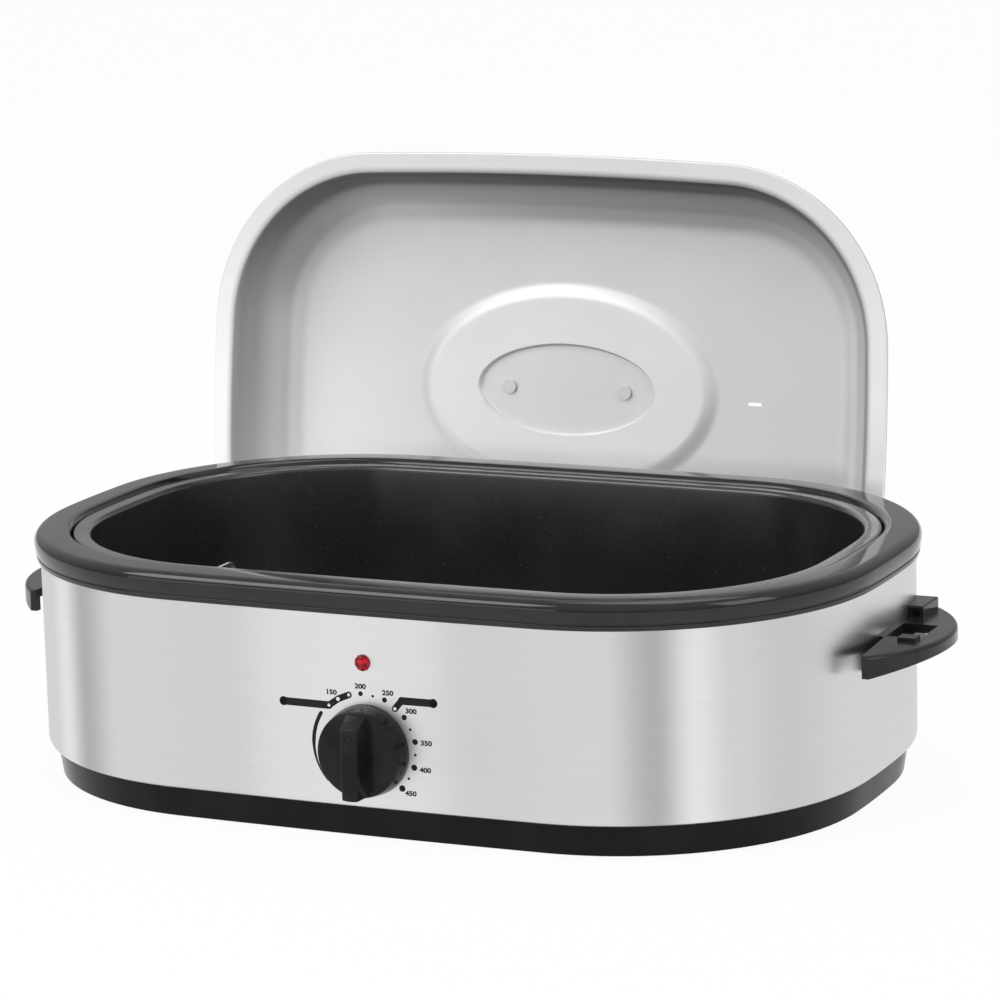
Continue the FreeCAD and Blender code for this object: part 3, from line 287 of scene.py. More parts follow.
def tint(material, value, dark, light, low=0.35, high=0.65):
    """Base colour runs between two tones."""
    ramp = add_node(material.node_tree, "ValToRGB", {"Fac": value})
    marks = ramp.color_ramp.elements
    for mark, position, tone in zip(marks, (low, high), (dark, light)):
        mark.position, mark.color = position, (*tone, 1.0)
    feed(material, "Base Color", ramp.outputs["Color"])


def toned(material, tone, factor):
    """Base colour is a tone times a factor."""
    scale = add_node(material.node_tree, "VectorMath", {0: tone, "Scale": factor},
                     operation="SCALE")
    feed(material, "Base Color", scale.outputs["Vector"])


def banded_tone(material, value, stops):
    """Tone factor that runs through (position, factor) stops, used for painted reflection and
    painted shade.
    """
    ramp = add_node(material.node_tree, "ValToRGB", {"Fac": value})
    ramp.color_ramp.interpolation = "EASE"
    marks = ramp.color_ramp.elements
    for position, _ in stops[1:-1]:
        marks.new(position)
    for mark, (position, factor) in zip(marks, stops):
        mark.position, mark.color = position, [factor / TONE_TOP] * 3 + [1.0]
    return combine(material, "MULTIPLY", ramp.outputs["Color"], TONE_TOP)


def sheen_range(material, value, smooth, rough, span=NOISE_SPAN):
    """Roughness runs between two values."""
    feed(material, "Roughness", remap(material, value, *span, smooth, rough))


def relief(material, value, distance, strength):
    """Bump too fine to be modelled."""
    bump = add_node(material.node_tree, "Bump", {"Height": value, "Distance": distance,
                                                 "Strength": strength})
    feed(material, "Normal", bump.outputs["Normal"])


def scaled(tone, factor):
    return tuple(min(1.0, part * factor) for part in tone)


def brushed_wrap_finish(finish):
    """Fine brush lines round the body, soft upright bands of painted reflection towards the
    corners, faint wear.
    """
    rough = finish.wrap_roughness
    steel = new_finish("brushed_wrap_steel", finish.wrap_steel, rough, 1.0, Anisotropic=0.6)
    lines = mixed(steel, grain(steel, (26, 26, 6500), 3), 0.6, grain(steel, (9, 9, 1500), 2))
    # painted reflection: lighter and darker upright bands along X stand in for the studio's
    # reflections
    aside = combine(steel, "ABSOLUTE", axis_value(steel, "X"), 0.0)
    painted_reflection_bands = banded_tone(steel, combine(steel, "MULTIPLY", aside, 1 / WRAP_REACH), (
        (0.0, 1.1), (0.14, 1.08), (0.3, 0.93), (0.58, 0.97), (0.68, 0.66), (0.755, 1.16),
        (0.82, 0.96), (0.9, 0.86), (1.0, 1.0)))
    brush = remap(steel, lines, *NOISE_SPAN, 0.95, 1.05)
    toned(steel, finish.wrap_steel, combine(steel, "MULTIPLY", painted_reflection_bands, brush))
    cloud = grain(steel, (9, 9, 14), 2)
    sheen_range(steel, mixed(steel, lines, 0.6, cloud), rough - 0.04, rough + 0.05)
    relief(steel, lines, 0.00001, 0.6)
    around = add_node(steel.node_tree, "Tangent", direction_type="RADIAL", axis="Z")
    feed(steel, "Tangent", around.outputs["Tangent"])
    return steel


def gloss_rim_finish(finish):
    """Gloss moulding with a slow ripple and a fine haze of wiping marks."""
    tone, rough = finish.gloss_black, finish.rim_roughness
    black = new_finish("gloss_rim_black", tone, rough, Specular_IOR_Level=0.45)
    haze = grain(black, (60, 18, 60), 4)
    tint(black, haze, scaled(tone, 0.8), scaled(tone, 1.5))
    sheen_range(black, haze, rough - 0.04, rough + 0.05)
    relief(black, grain(black, (16, 16, 22), 1), 0.0003, 0.4)
    return black


def base_enamel_finish(finish):
    """Sprayed enamel with orange peel and a little dust."""
    tone = finish.gloss_black
    black = new_finish("base_enamel_black", tone, 0.2, Specular_IOR_Level=0.13)
    dust = grain(black, (35, 35, 12), 4)
    tint(black, dust, scaled(tone, 0.6), scaled(tone, 1.2))
    sheen_range(black, dust, 0.16, 0.28, (0.3, 0.75))
    relief(black, grain(black, (420, 420, 420), 2), 0.00005, 0.6)
    return black


def lid_turn(lid):
    """Turn about X that stands the lid up, hollow side to the front."""
    return -QUARTER - lid.tilt


def satin_lid_finish(finish, lid):
    """Drawn sheet with painted light: a bright flange and plateau, painted shade on the wall that
    is darkest at the top, and painted light that grows towards the foot.
    """
    steel = new_finish("satin_lid_steel", finish.lid_steel, 0.42, 0.45)
    turn, half = (lid_turn(lid), 0, 0), lid.half_width
    inward = axis_value(steel, "Z", turn, lid.middle)
    downward = axis_value(steel, "Y", turn, lid.middle)
    depth = combine(steel, "MULTIPLY", inward, 20.0)
    # painted shade: a mask of the wall, where the painted shade below is laid
    wall = banded_tone(steel, depth, (
        (0.0, 0.0), (0.02, 0.0), (0.03, 1.0), (0.35, 1.0), (0.6, 0.0), (1.0, 0.0)))
    # painted light and shade by depth: bright flange and plateau, darker wall and panel
    painted_light_by_depth = banded_tone(steel, depth, (
        (0.0, 1.15), (0.008, 1.1), (0.03, 0.5), (0.3, 0.58), (0.8, 0.86), (0.86, 1.08),
        (0.91, 0.97), (1.0, 0.97)))
    # painted light: the lid grows brighter towards its foot and darker towards its top
    tone = combine(steel, "MULTIPLY", painted_light_by_depth, remap(steel, downward, -half, half, 0.72, 1.42))
    # painted shade: the wall is darkest at the top
    shade = combine(steel, "MULTIPLY", wall,
                    remap(steel, downward, -half, -0.5 * half, -0.75, 0.0))
    tone = combine(steel, "MULTIPLY", tone, combine(steel, "ADD", shade, 1.0))
    tone = combine(steel, "MINIMUM", tone, 1.2)
    speck = grain(steel, (1100, 1100, 1100), 2)
    marks = mixed(steel, grain(steel, (30, 60, 60), 3), 0.5, speck)
    wear = remap(steel, marks, *NOISE_SPAN, 0.985, 1.015)
    toned(steel, finish.lid_steel, combine(steel, "MULTIPLY", tone, wear))
    sheen_range(steel, grain(steel, (10, 10, 10), 3), 0.38, 0.5)
    relief(steel, speck, 0.00001, 0.5)
    return steel


def moulded_finish(finish, name, roughness, gloss=0.3):
    """Pressed phenolic: fine stipple, slight sheen changes."""
    tone = finish.moulding_black
    black = new_finish(name, tone, roughness, Specular_IOR_Level=gloss)
    rub = grain(black, (45, 45, 45), 3)
    tint(black, rub, scaled(tone, 0.8), scaled(tone, 1.7))
    sheen_range(black, rub, roughness - 0.07, roughness + 0.08)
    relief(black, grain(black, (1400, 1400, 1400), 2), 0.00004, 0.5)
    return black


def pan_enamel_finish(finish):
    """Vitreous enamel with pale specks under a clear coat."""
    enamel = new_finish("pan_enamel", finish.enamel_black, 0.22, Coat_Weight=0.4,
                        Coat_Roughness=0.12)
    cloud = grain(enamel, (18, 18, 18), 3)
    tint(enamel, grain(enamel, (700, 700, 700), 2), finish.enamel_black, (0.06, 0.06, 0.065),
         0.66, 0.76)
    sheen_range(enamel, cloud, 0.17, 0.32)
    relief(enamel, cloud, 0.0004, 0.4)
    return enamel


def plated_finish(name, tone, roughness, streak=(300, 300, 300)):
    """Bright plated metal with small tone and sheen changes."""
    metal = new_finish(name, tone, roughness, 1.0)
    marks = grain(metal, streak, 3)
    tint(metal, marks, scaled(tone, 0.85), scaled(tone, 1.06))
    sheen_range(metal, marks, roughness - 0.05, roughness + 0.1)
    relief(metal, marks, 0.00003, 0.5)
    return metal


def mineral_finish(name, dark, light, roughness, size=500):
    """Fibre, mica, ceramic or rubber: broken tone and a rough relief."""
    stuff = new_finish(name, light, roughness)
    fibre = grain(stuff, (size, size, size * 0.4), 5)
    tint(stuff, fibre, dark, light)
    sheen_range(stuff, fibre, roughness - 0.06, roughness + 0.06)
    relief(stuff, fibre, 0.0003, 0.7)
    return stuff


def lamp_lens_finish(finish):
    """Clear red plastic with darker depths."""
    lens = new_finish("lamp_lens_red", finish.lamp_red, 0.06, Transmission_Weight=0.12,
                      Specular_IOR_Level=0.25, IOR=1.49)
    depth = grain(lens, (330, 330, 330), 2)
    tint(lens, depth, scaled(finish.lamp_red, 0.35), (0.62, 0.004, 0.015), 0.42, 0.62)
    sheen_range(lens, depth, 0.04, 0.1)
    relief(lens, depth, 0.0002, 0.4)
    return lens


def ink_finish(name, tones, roughness, sheen, gloss=0.5):
    """Printed ink: a middle, a dark and a light tone in fine specks."""
    ink = new_finish(name, tones[0], roughness, Specular_IOR_Level=gloss)
    speck = grain(ink, (2500, 2500, 2500), 2)
    tint(ink, speck, *tones[1:])
    sheen_range(ink, speck, *sheen)
    return ink


def dress(material, *names):
    """Give CAD nodes a finish; their shape stays."""
    for name in names:
        mesh = NODES[name].data
        mesh.materials.clear()
        mesh.materials.append(material)


# ------------------------------------------------------------------ mesh helpers

def finish_piece(name, bm, body, material, smooth=35.0):
    """Object from a bmesh, riding on a CAD body."""
    mesh = bpy.data.meshes.new(name)
    bm.to_mesh(mesh)
    bm.free()
    piece = bpy.data.objects.new(name, mesh)
    bpy.context.scene.collection.objects.link(piece)
    mesh.materials.append(material)
    mesh.shade_smooth()
    mesh.set_sharp_from_angle(angle=math.radians(smooth))
    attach(piece, body)
    return piece


def weigh_normals(mesh, smooth):
    """Shade each corner by the faces round it, the large ones most, so flats stay flat."""
    limit = math.cos(math.radians(smooth))
    around = [[] for _ in mesh.vertices]
    for face in mesh.polygons:
        for vertex in face.vertices:
            around[vertex].append(face)
    normals = []
    for face in mesh.polygons:
        for vertex in face.vertices:
            total = Vector()
            for other in around[vertex]:
                if other.normal.dot(face.normal) > limit:
                    total += other.normal * other.area
            normals.append(total.normalized() if total.length else face.normal)
    mesh.normals_split_custom_set(normals)


def smooth_copy(node, name, body, material, smooth=30.0):
    """A CAD node's own shape, merged to one surface so that it shades smoothly."""
    bm = bmesh.new()
    bm.from_mesh(NODES[node].data)
    bmesh.ops.remove_doubles(bm, verts=bm.verts, dist=0.000004)
    bmesh.ops.dissolve_degenerate(bm, edges=bm.edges, dist=0.000001)
    piece = finish_piece(name, bm, body, material, smooth)
    weigh_normals(piece.data, smooth)
    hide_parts(node)
    return piece


def oblong(half_x, half_y, corner, long_side, short_side, steps=(14, 26, 20)):
    """Eight tangent arcs of a bulged oblong: (centre, radius, start turn, end turn, steps)."""
    long_centre = Vector((0, half_y - long_side, 0))
    short_centre = Vector((half_x - short_side, 0, 0))
    reach_long, reach_short = long_side - corner, short_side - corner
    line = short_centre - long_centre
    along = line.normalized()
    near = (reach_long ** 2 - reach_short ** 2 + line.length ** 2) / (2 * line.length)
    side = math.sqrt(reach_long ** 2 - near ** 2)
    nook = long_centre + along * near + Vector((along.y, -along.x, 0)) * side
    low = math.atan2(nook.y - short_centre.y, nook.x - short_centre.x)
    high = math.atan2(nook.y - long_centre.y, nook.x - long_centre.x)
    few, many, some = steps
    half = math.pi
    return [(short_centre, short_side, -low, low, few),
            (nook, corner, low, high, many),
            (long_centre, long_side, high, half - high, some),
            (Vector((-nook.x, nook.y, 0)), corner, half - high, half - low, many),
            (-short_centre, short_side, half - low, half + low, few),
            (-nook, corner, half + low, half + high, many),
            (-long_centre, long_side, half + high, 2 * half - high, some),
            (Vector((nook.x, -nook.y, 0)), corner, 2 * half - high, 2 * half - low, many)]


def section_wire(bm, corners, reach, closed):
    """Wire of (inset, height, radius, segments) corners, rounded where a radius is given."""
    verts = [bm.verts.new((reach - c[0], 0, c[1])) for c in corners]
    pairs = list(zip(verts, verts[1:])) + ([(verts[-1], verts[0])] if closed else [])
    edges = [bm.edges.new(pair) for pair in pairs]
    rounding = {}
    for vert, c in zip(verts, corners):
        if len(c) > 2:
            rounding.setdefault((c[2], c[3] if len(c) > 3 else 4), []).append(vert)
    made = set(verts)
    for (radius, segments), tips in rounding.items():
        result = bmesh.ops.bevel(bm, geom=tips, offset=radius, offset_type="OFFSET",
                                 segments=segments, profile=0.5, affect="VERTICES", material=-1)
        made.update(result["verts"])
    made = [vert for vert in made if vert.is_valid]
    return made, list({edge for vert in made for edge in vert.link_edges})


def swept_ring(bm, outline, corners, closed=True):
    """Section carried round an outline: turned about every arc's own centre."""
    for centre, reach, start, end, steps in outline:
        verts, edges = section_wire(bm, corners, reach, closed)
        bmesh.ops.rotate(bm, verts=verts, matrix=Matrix.Rotation(start, 3, "Z"))
        bmesh.ops.translate(bm, verts=verts, vec=centre)
        bmesh.ops.spin(bm, geom=verts + edges, cent=centre, axis=(0, 0, 1), angle=end - start,
                       steps=steps, use_merge=False)
    bmesh.ops.remove_doubles(bm, verts=bm.verts, dist=0.00002)
    bmesh.ops.recalc_face_normals(bm, faces=bm.faces)


def turned(bm, corners, steps, closed=True):
    """Round piece: a section of (radius, height) corners turned about Z."""
    verts, edges = section_wire(bm, [(-c[0], *c[1:]) for c in corners], 0, closed)
    bmesh.ops.spin(bm, geom=verts + edges, cent=(0, 0, 0), axis=(0, 0, 1),
                   angle=2 * math.pi, steps=steps, use_merge=True)
    bmesh.ops.remove_doubles(bm, verts=bm.verts, dist=0.00001)
    bmesh.ops.recalc_face_normals(bm, faces=bm.faces)


def open_loop(bm, height):
    """Open edges that lie at one height."""
    return [edge for edge in bm.edges if edge.is_boundary
            and all(abs(vert.co.z - height) < 0.0002 for vert in edge.verts)]


def body_outline(body):
    return oblong(body.half_length, body.half_depth, body.corner, body.long_bow,
                  body.short_bow)


def over_wrap(bm, wrap, lift):
    """Lay flat print on the wrap: every point drops straight back on to the steel."""
    tree = BVHTree.FromObject(wrap, bpy.context.evaluated_depsgraph_get())
    for vert in bm.verts:
        height = -vert.co.y
        spot, normal, _, _ = tree.ray_cast(Vector((vert.co.x, -1.0, vert.co.z)),
                                           Vector((0, 1, 0)))
        if spot is None:
            raise RuntimeError("a mark of the dial lies off the wrap")
        vert.co = spot + normal * (height + lift)


# ------------------------------------------------------------------ operators

class ROASTER_OT_body_shell(bpy.types.Operator):
    """Make the wrap and the rim, and finish the base"""
    bl_idname = "roaster.body_shell"
    bl_label = "Body Shell"

    def execute(self, context):
        body, finish = context.scene.roaster_body, context.scene.roaster_finish
        centre = Matrix.Translation((0, body.centre_y, 0))
        outline, gauge = body_outline(body), 0.0008
        wrap_top, foot, inset = body.rim_top - 0.0033, body.wrap_foot, body.wrap_inset
        bm = bmesh.new()
        swept_ring(bm, outline, [
            (inset, wrap_top), (inset, body.fascia_foot), (inset, foot + 0.006),
            (inset, foot, 0.0042, 7), (body.wrap_hem + 0.004, foot),
            (body.wrap_hem + 0.004, foot + gauge), (inset + gauge, foot + gauge, 0.0034, 5),
            (inset + gauge, wrap_top)])
        bmesh.ops.transform(bm, matrix=centre, verts=bm.verts)
        wrap = finish_piece("steel_wrap", bm, "cooker", brushed_wrap_finish(finish))
        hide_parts("outer_wrap")

        top, foot, flange = body.rim_top, body.fascia_foot, body.rim_flange
        ledge, under = top - 0.008, top - 0.0105
        inner, skin = inset - 0.0003, top - 0.0032
        bm = bmesh.new()
        swept_ring(bm, outline, [
            (flange + 0.008, ledge), (flange + 0.0025, ledge, 0.002, 4), (flange, top, 0.003, 6),
            (flange - 0.0045, top), (0.0008, top - 0.0004, 0.005, 10), (0, top - 0.0064),
            (0.0008, foot + 0.0042, 0.0002, 2), (0.0016, foot + 0.0039),
            (0.0016, foot + 0.0031), (0.001, foot + 0.0028, 0.0002, 2),
            (0.0014, foot, 0.0006, 4), (inner, foot, 0.0005, 3), (inner, skin),
            (flange - 0.002, skin, 0.002, 3), (flange, under, 0.0015, 3),
            (flange + 0.008, under)])
        bmesh.ops.transform(bm, matrix=centre, verts=bm.verts)
        rim = finish_piece("black_rim", bm, "cooker", gloss_rim_finish(finish))
        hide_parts("top_rim")
        smooth_copy("base_skirt", "black_base", "cooker", base_enamel_finish(finish))
        return {"FINISHED"}


def thumb_bar(bm, dial):
    """Tapered bar across the knob's face: one end sloped, the other follows the face's edge."""
    foot, top = dial.face_height - 0.001, dial.height - BAR_STEP
    made = bmesh.ops.create_cube(bm, size=1.0)["verts"]
    bmesh.ops.scale(bm, vec=(dial.bar_width, dial.bar_length, top - foot), verts=made)
    bmesh.ops.translate(bm, vec=(0, 0, (top + foot) / 2), verts=made)
    front = [vert for vert in made if vert.co.z > foot + 0.001]
    bmesh.ops.scale(bm, vec=(dial.bar_front / dial.bar_width, 1, 1), verts=front)
    bmesh.ops.translate(bm, vec=(0, -dial.bar_slope, 0),
                        verts=[vert for vert in front if vert.co.y > 0])
    blunt = [edge for edge in {edge for vert in made for edge in vert.link_edges}
             if max(vert.co.y for vert in edge.verts) < 0
             and abs(edge.verts[0].co.z - edge.verts[1].co.z) < 0.0001]
    bmesh.ops.subdivide_edges(bm, edges=blunt, cuts=7)
    for vert in bm.verts:
        if vert.co.z > foot - 0.0001 and abs(vert.co.y + dial.bar_length / 2) < 0.0001:
            vert.co.y = -math.sqrt((dial.face_radius - 0.0006) ** 2 - vert.co.x ** 2)
    bm.normal_update()
    edges = [edge for edge in {edge for vert in bm.verts if vert.co.z > dial.face_height + 0.002
                               for edge in vert.link_edges} if edge.calc_face_angle(0) > 0.35]
    bmesh.ops.bevel(bm, geom=edges, offset=0.0007, offset_type="OFFSET", segments=3,
                    profile=0.5, affect="EDGES", material=-1)


class ROASTER_OT_dial(bpy.types.Operator):
    """Make the control knob"""
    bl_idname = "roaster.dial"
    bl_label = "Dial"

    def execute(self, context):
        dial, finish = context.scene.roaster_dial, context.scene.roaster_finish
        wide, face, rise, wall = dial.radius, dial.face_radius, dial.face_height, 0.0024
        bm = bmesh.new()
        turned(bm, [(0, rise), (face - 0.004, rise), (face, rise, 0.0011, 5),
                    (wide, 0.0012, 0.0004, 2), (wide, 0), (wide - wall, 0),
                    (face - wall, rise - wall, 0.002, 3), (0.008, rise - wall),
                    (0.008, 0.003), (0, 0.003)], 96, False)
        thumb_bar(bm, dial)
        top = dial.height - BAR_STEP
        low, high = top - BAR_STEP, top + BAR_STEP
        ring = bmesh.new()
        outer, inner = dial.mark_ring, dial.mark_ring - 0.0005
        turned(ring, [(inner, low), (inner, high, 0.0001, 2), (outer, high, 0.0001, 2),
                      (outer, low)], 40)
        bmesh.ops.translate(ring, vec=(0, dial.mark_place, 0), verts=ring.verts)
        mark = bpy.data.meshes.new("pointer_mark")
        ring.to_mesh(mark)
        ring.free()
        bm.from_mesh(mark)
        stand = Matrix.Translation((dial.centre_x, dial.back_y, dial.centre_z)) @ UPRIGHT
        bmesh.ops.transform(bm, matrix=stand, verts=bm.verts)
        black = moulded_finish(finish, "knob_black", 0.21, 0.14)
        knob = finish_piece("dial_knob", bm, "dial", black, 28.0)
        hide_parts("control_knob")
        dress(plated_finish("spindle_steel", finish.zinc, 0.3), "knob_spindle")
        return {"FINISHED"}


def round_mark(bm, x, z, radius, height):
    """Thin printed disc; heights differ a little where marks lie on each other."""
    made = bmesh.ops.create_circle(bm, cap_ends=True, radius=radius, segments=28)["verts"]
    bmesh.ops.transform(bm, matrix=Matrix.Translation((x, -height, z)) @ UPRIGHT, verts=made)


def stroke(bm, start, end, width, height):
    """Straight printed bar between two points, with round ends."""
    line = Vector((end[0] - start[0], 0, end[1] - start[1]))
    parts = max(2, int(line.length / 0.004))
    made = bmesh.ops.create_grid(bm, x_segments=parts, y_segments=1, size=0.5)["verts"]
    bmesh.ops.scale(bm, vec=(line.length, width, 1), verts=made)
    middle = ((start[0] + end[0]) / 2, -height, (start[1] + end[1]) / 2)
    turn = Matrix.Rotation(-math.atan2(line.z, line.x), 4, "Y")
    bmesh.ops.transform(bm, matrix=Matrix.Translation(middle) @ turn @ UPRIGHT, verts=made)
    for spot in (start, end):
        round_mark(bm, spot[0], spot[1], width / 2, height + 0.00001)


def number(bm, text, x, z, dial):
    """Plain number, made a mesh before it is placed."""
    curve = bpy.data.curves.new("number_" + text, "FONT")
    curve.body = text
    curve.size = dial.number_height * 1.38
    curve.align_x, curve.align_y = "CENTER", "CENTER"
    curve.offset = 0.00016
    holder = bpy.data.objects.new(curve.name, curve)
    bpy.context.scene.collection.objects.link(holder)
    graph = bpy.context.evaluated_depsgraph_get()
    flat = bpy.data.meshes.new_from_object(holder.evaluated_get(graph))
    bpy.data.objects.remove(holder)
    wide = Matrix.Diagonal((1.18, 1, 1, 1))
    flat.transform(Matrix.Translation((x, 0, z)) @ UPRIGHT @ wide)
    bm.from_mesh(flat)


def round_dial(dial, degrees, radius):
    """Place on the wrap at an angle, clockwise from the top."""
    turn = math.radians(degrees)
    return (dial.centre_x + radius * math.sin(turn),
            dial.centre_z + dial.print_lift + radius * math.cos(turn))


def low_heat_stops(dial):
    """The three stops along the left band, the first where its arm joins."""
    return (round_dial(dial, -44.8, 0.0315), round_dial(dial, -32, 0.0311),
            round_dial(dial, -18.4, 0.0308))


def along_arc(dial, part, aside):
    """Point of the low-heat arc, from its thick upper end to its thin lower one."""
    x, z = round_dial(dial, -57.5 - 74 * part, dial.arc_circle + aside)
    return Vector((x, 0, z))


class ROASTER_OT_dial_print(bpy.types.Operator):
    """Print numbers, dots, bands and the low-heat arc on the wrap"""
    bl_idname = "roaster.dial_print"
    bl_label = "Dial Print"

    def execute(self, context):
        dial = context.scene.roaster_dial
        bm = bmesh.new()
        stops = 6
        for stop in range(stops):
            size = dial.first_dot + (dial.last_dot - dial.first_dot) * stop / (stops - 1)
            spot = round_dial(dial, DOT_STEP * stop + DOT_START, dial.dot_circle)
            round_mark(bm, *spot, size, 0)
        for stop in (0, 2, 3, 4):
            spot = round_dial(dial, DOT_STEP * stop + BETWEEN_DOTS, dial.dot_circle - 0.0005)
            round_mark(bm, *spot, dial.small_dot, 0)
        for text, degrees, radius in NUMBER_PLACES:
            number(bm, text, *round_dial(dial, degrees, radius), dial)
        wide, narrow = dial.band_width, dial.band_width - 0.0006
        left = (round_dial(dial, -66, 0.0553), *low_heat_stops(dial))
        right = (round_dial(dial, 55.7, 0.0505), round_dial(dial, 38.5, 0.0363),
                 round_dial(dial, 38, 0.0299))
        for band in (left, right):
            round_mark(bm, *band[0], wide * 0.6, 0.00003)
            for start, end in zip(band, band[1:]):
                first = start is band[0]
                stroke(bm, start, end, wide if first else narrow, 0.00002 if first else 0)
        sweep = bmesh.ops.create_grid(bm, x_segments=48, y_segments=1, size=0.5)["verts"]
        for vert in sweep:
            part, side = vert.co.x + 0.5, vert.co.y
            thin = max(0.0, (part - 0.4) / 0.6)
            width = dial.arc_width * (1 - 0.8 * thin ** 0.7)
            vert.co = along_arc(dial, part, side * width)
        round_mark(bm, *along_arc(dial, 0, 0).xz, dial.arc_width / 2, 0.00001)
        bmesh.ops.recalc_face_normals(bm, faces=bm.faces)
        for face in bm.faces:
            if face.normal.y > 0:
                face.normal_flip()
        wrap = bpy.data.objects["steel_wrap"]
        over_wrap(bm, wrap, dial.ink)
        black = ink_finish("dial_print_ink", ((0.012, 0.012, 0.013), (0.009, 0.009, 0.01),
                                              (0.018, 0.018, 0.019)), 0.5, (0.42, 0.58), 0.15)
        finish_piece("dial_print", bm, "cooker", black)

        bm = bmesh.new()
        low, middle, high = low_heat_stops(dial)
        for spot, size in ((low, 0.0009), (middle, 0.0012), (high, 0.0009), (right[-1], 0.001)):
            round_mark(bm, *spot, size, 0.00006)
        over_wrap(bm, wrap, dial.ink)
        pale = ink_finish("dial_print_light", ((0.8, 0.8, 0.8), (0.72, 0.72, 0.72),
                                               (0.85, 0.85, 0.85)), 0.45, (0.4, 0.55))
        finish_piece("dial_print_dots", bm, "cooker", pale)
        return {"FINISHED"}


class ROASTER_OT_lamp(bpy.types.Operator):
    """Finish the lamp and its lens"""
    bl_idname = "roaster.lamp"
    bl_label = "Lamp"

    def execute(self, context):
        finish = context.scene.roaster_finish
        bm = bmesh.new()
        radius, dome = (LENS_HIGH.x - LENS_LOW.x) / 2, LENS_HIGH.y - LENS_LOW.y
        bmesh.ops.create_icosphere(bm, subdivisions=2, radius=radius - 0.0001)
        bmesh.ops.rotate(bm, verts=bm.verts, matrix=Matrix.Rotation(0.4, 3, "Y"))
        cut = bmesh.ops.bisect_plane(bm, geom=bm.verts[:] + bm.edges[:] + bm.faces[:],
                                     plane_co=(0, 0, 0), plane_no=(0, 1, 0), clear_outer=True)
        rim = [part for part in cut["geom_cut"] if isinstance(part, bmesh.types.BMEdge)]
        bmesh.ops.scale(bm, verts=bm.verts, vec=(1, LENS_DOME / radius, 1))
        sides = bmesh.ops.extrude_edge_only(bm, edges=rim)["geom"]
        foot = [part for part in sides if isinstance(part, bmesh.types.BMVert)]
        bmesh.ops.translate(bm, verts=foot, vec=(0, dome - LENS_DOME - 0.0002, 0))
        bmesh.ops.contextual_create(bm, geom=[part for part in sides if
                                              isinstance(part, bmesh.types.BMEdge)
                                              and part.is_boundary])
        middle = (LENS_LOW + LENS_HIGH) / 2
        bmesh.ops.translate(bm, verts=bm.verts,
                            vec=(middle.x, LENS_LOW.y + LENS_DOME + 0.0001, middle.z))
        bmesh.ops.recalc_face_normals(bm, faces=bm.faces)
        lens = finish_piece("lamp_lens", bm, "cooker", lamp_lens_finish(finish), 5.0)
        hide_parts("indicator_lens")
        dress(mineral_finish("neon_glow", (0.5, 0.2, 0.1), (0.8, 0.4, 0.2), 0.3), "indicator_lamp")
        return {"FINISHED"}


class ROASTER_OT_handles(bpy.types.Operator):
    """Finish the side handles"""
    bl_idname = "roaster.handles"
    bl_label = "Side Handles"

    def execute(self, context):
        finish = context.scene.roaster_finish
        black = moulded_finish(finish, "handle_black", 0.19, 0.28)
        for node, name in (("right_handle", "right_grip"), ("left_handle", "left_grip")):
            smooth_copy(node, name, "cooker", black, 32.0)
        smooth_copy("cord_gland", "gland_bush", "cooker", black, 40.0)
        return {"FINISHED"}


class ROASTER_OT_pan_and_rack(bpy.types.Operator):
    """Make the pan and finish the wire rack"""
    bl_idname = "roaster.pan_and_rack"
    bl_label = "Pan and Rack"

    def execute(self, context):
        body, finish = context.scene.roaster_body, context.scene.roaster_finish
        top, foot = body.rim_top - 0.0024, body.rim_top - 0.0077
        lip, wall, floor = body.rim_flange + 0.0032, 0.0012, body.pan_floor
        inner, low = lip + 0.0085, body.pan_inset
        bm = bmesh.new()
        swept_ring(bm, body_outline(body), [
            (low + 0.035, floor + wall), (low + wall, floor + wall, 0.0298, 12),
            (inner + 0.001, top, 0.003, 6), (lip + 0.0042, top), (lip - 0.0016, top, 0.0022, 7),
            (lip, foot), (lip + wall, foot), (lip - 0.0002, top - wall, 0.0012, 4),
            (inner - 0.0002, top - wall, 0.0018, 4), (low, floor, 0.031, 12),
            (low + 0.035, floor)], False)
        for height in (floor + wall, floor):
            bmesh.ops.contextual_create(bm, geom=open_loop(bm, height))
        bmesh.ops.recalc_face_normals(bm, faces=bm.faces)
        bmesh.ops.translate(bm, verts=bm.verts, vec=(0, body.centre_y, 0))
        pan = finish_piece("enamel_pan", bm, "pan", pan_enamel_finish(finish))
        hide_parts("roasting_pan")
        chrome = plated_finish("rack_chrome", (0.75, 0.75, 0.76), 0.14)
        for node, name in (("rack_frame", "chrome_frame"), ("rack_rods", "chrome_rods"),
                           ("rack_loops", "chrome_loops")):
            smooth_copy(node, name, "rack", chrome, 50.0)
        return {"FINISHED"}


def stepped_ovals(bm, edges, lid, profile):
    """From an open flat loop, step inwards over ovals of (half length, half width, height)."""
    for long_half, short_half, height in profile:
        grown = bmesh.ops.extrude_edge_only(bm, edges=edges)["geom"]
        ring = {part for part in grown if isinstance(part, bmesh.types.BMVert)}
        edges = [part for part in grown if isinstance(part, bmesh.types.BMEdge)
                 and ring.issuperset(part.verts)]
        for vert in ring:
            across, up = vert.co.x, vert.co.y + lid.oval_shift
            reach = math.hypot(across / long_half, up / short_half)
            vert.co = Vector((across / reach, up / reach - lid.oval_shift, height))
    bmesh.ops.contextual_create(bm, geom=edges)


def soft_step(long_half, short_half, start, end, run, steps=7):
    """Rings of an S-shaped step that ends a run further in."""
    rings = [(long_half + 0.0012, short_half + 0.0012, start)]
    for i in range(steps + 1):
        part = i / steps
        rise = part * part * (3 - 2 * part)
        rings.append((long_half - run * part, short_half - run * part,
                      start + (end - start) * rise))
    rings.append((long_half - run - 0.0012, short_half - run - 0.0012, end))
    return rings


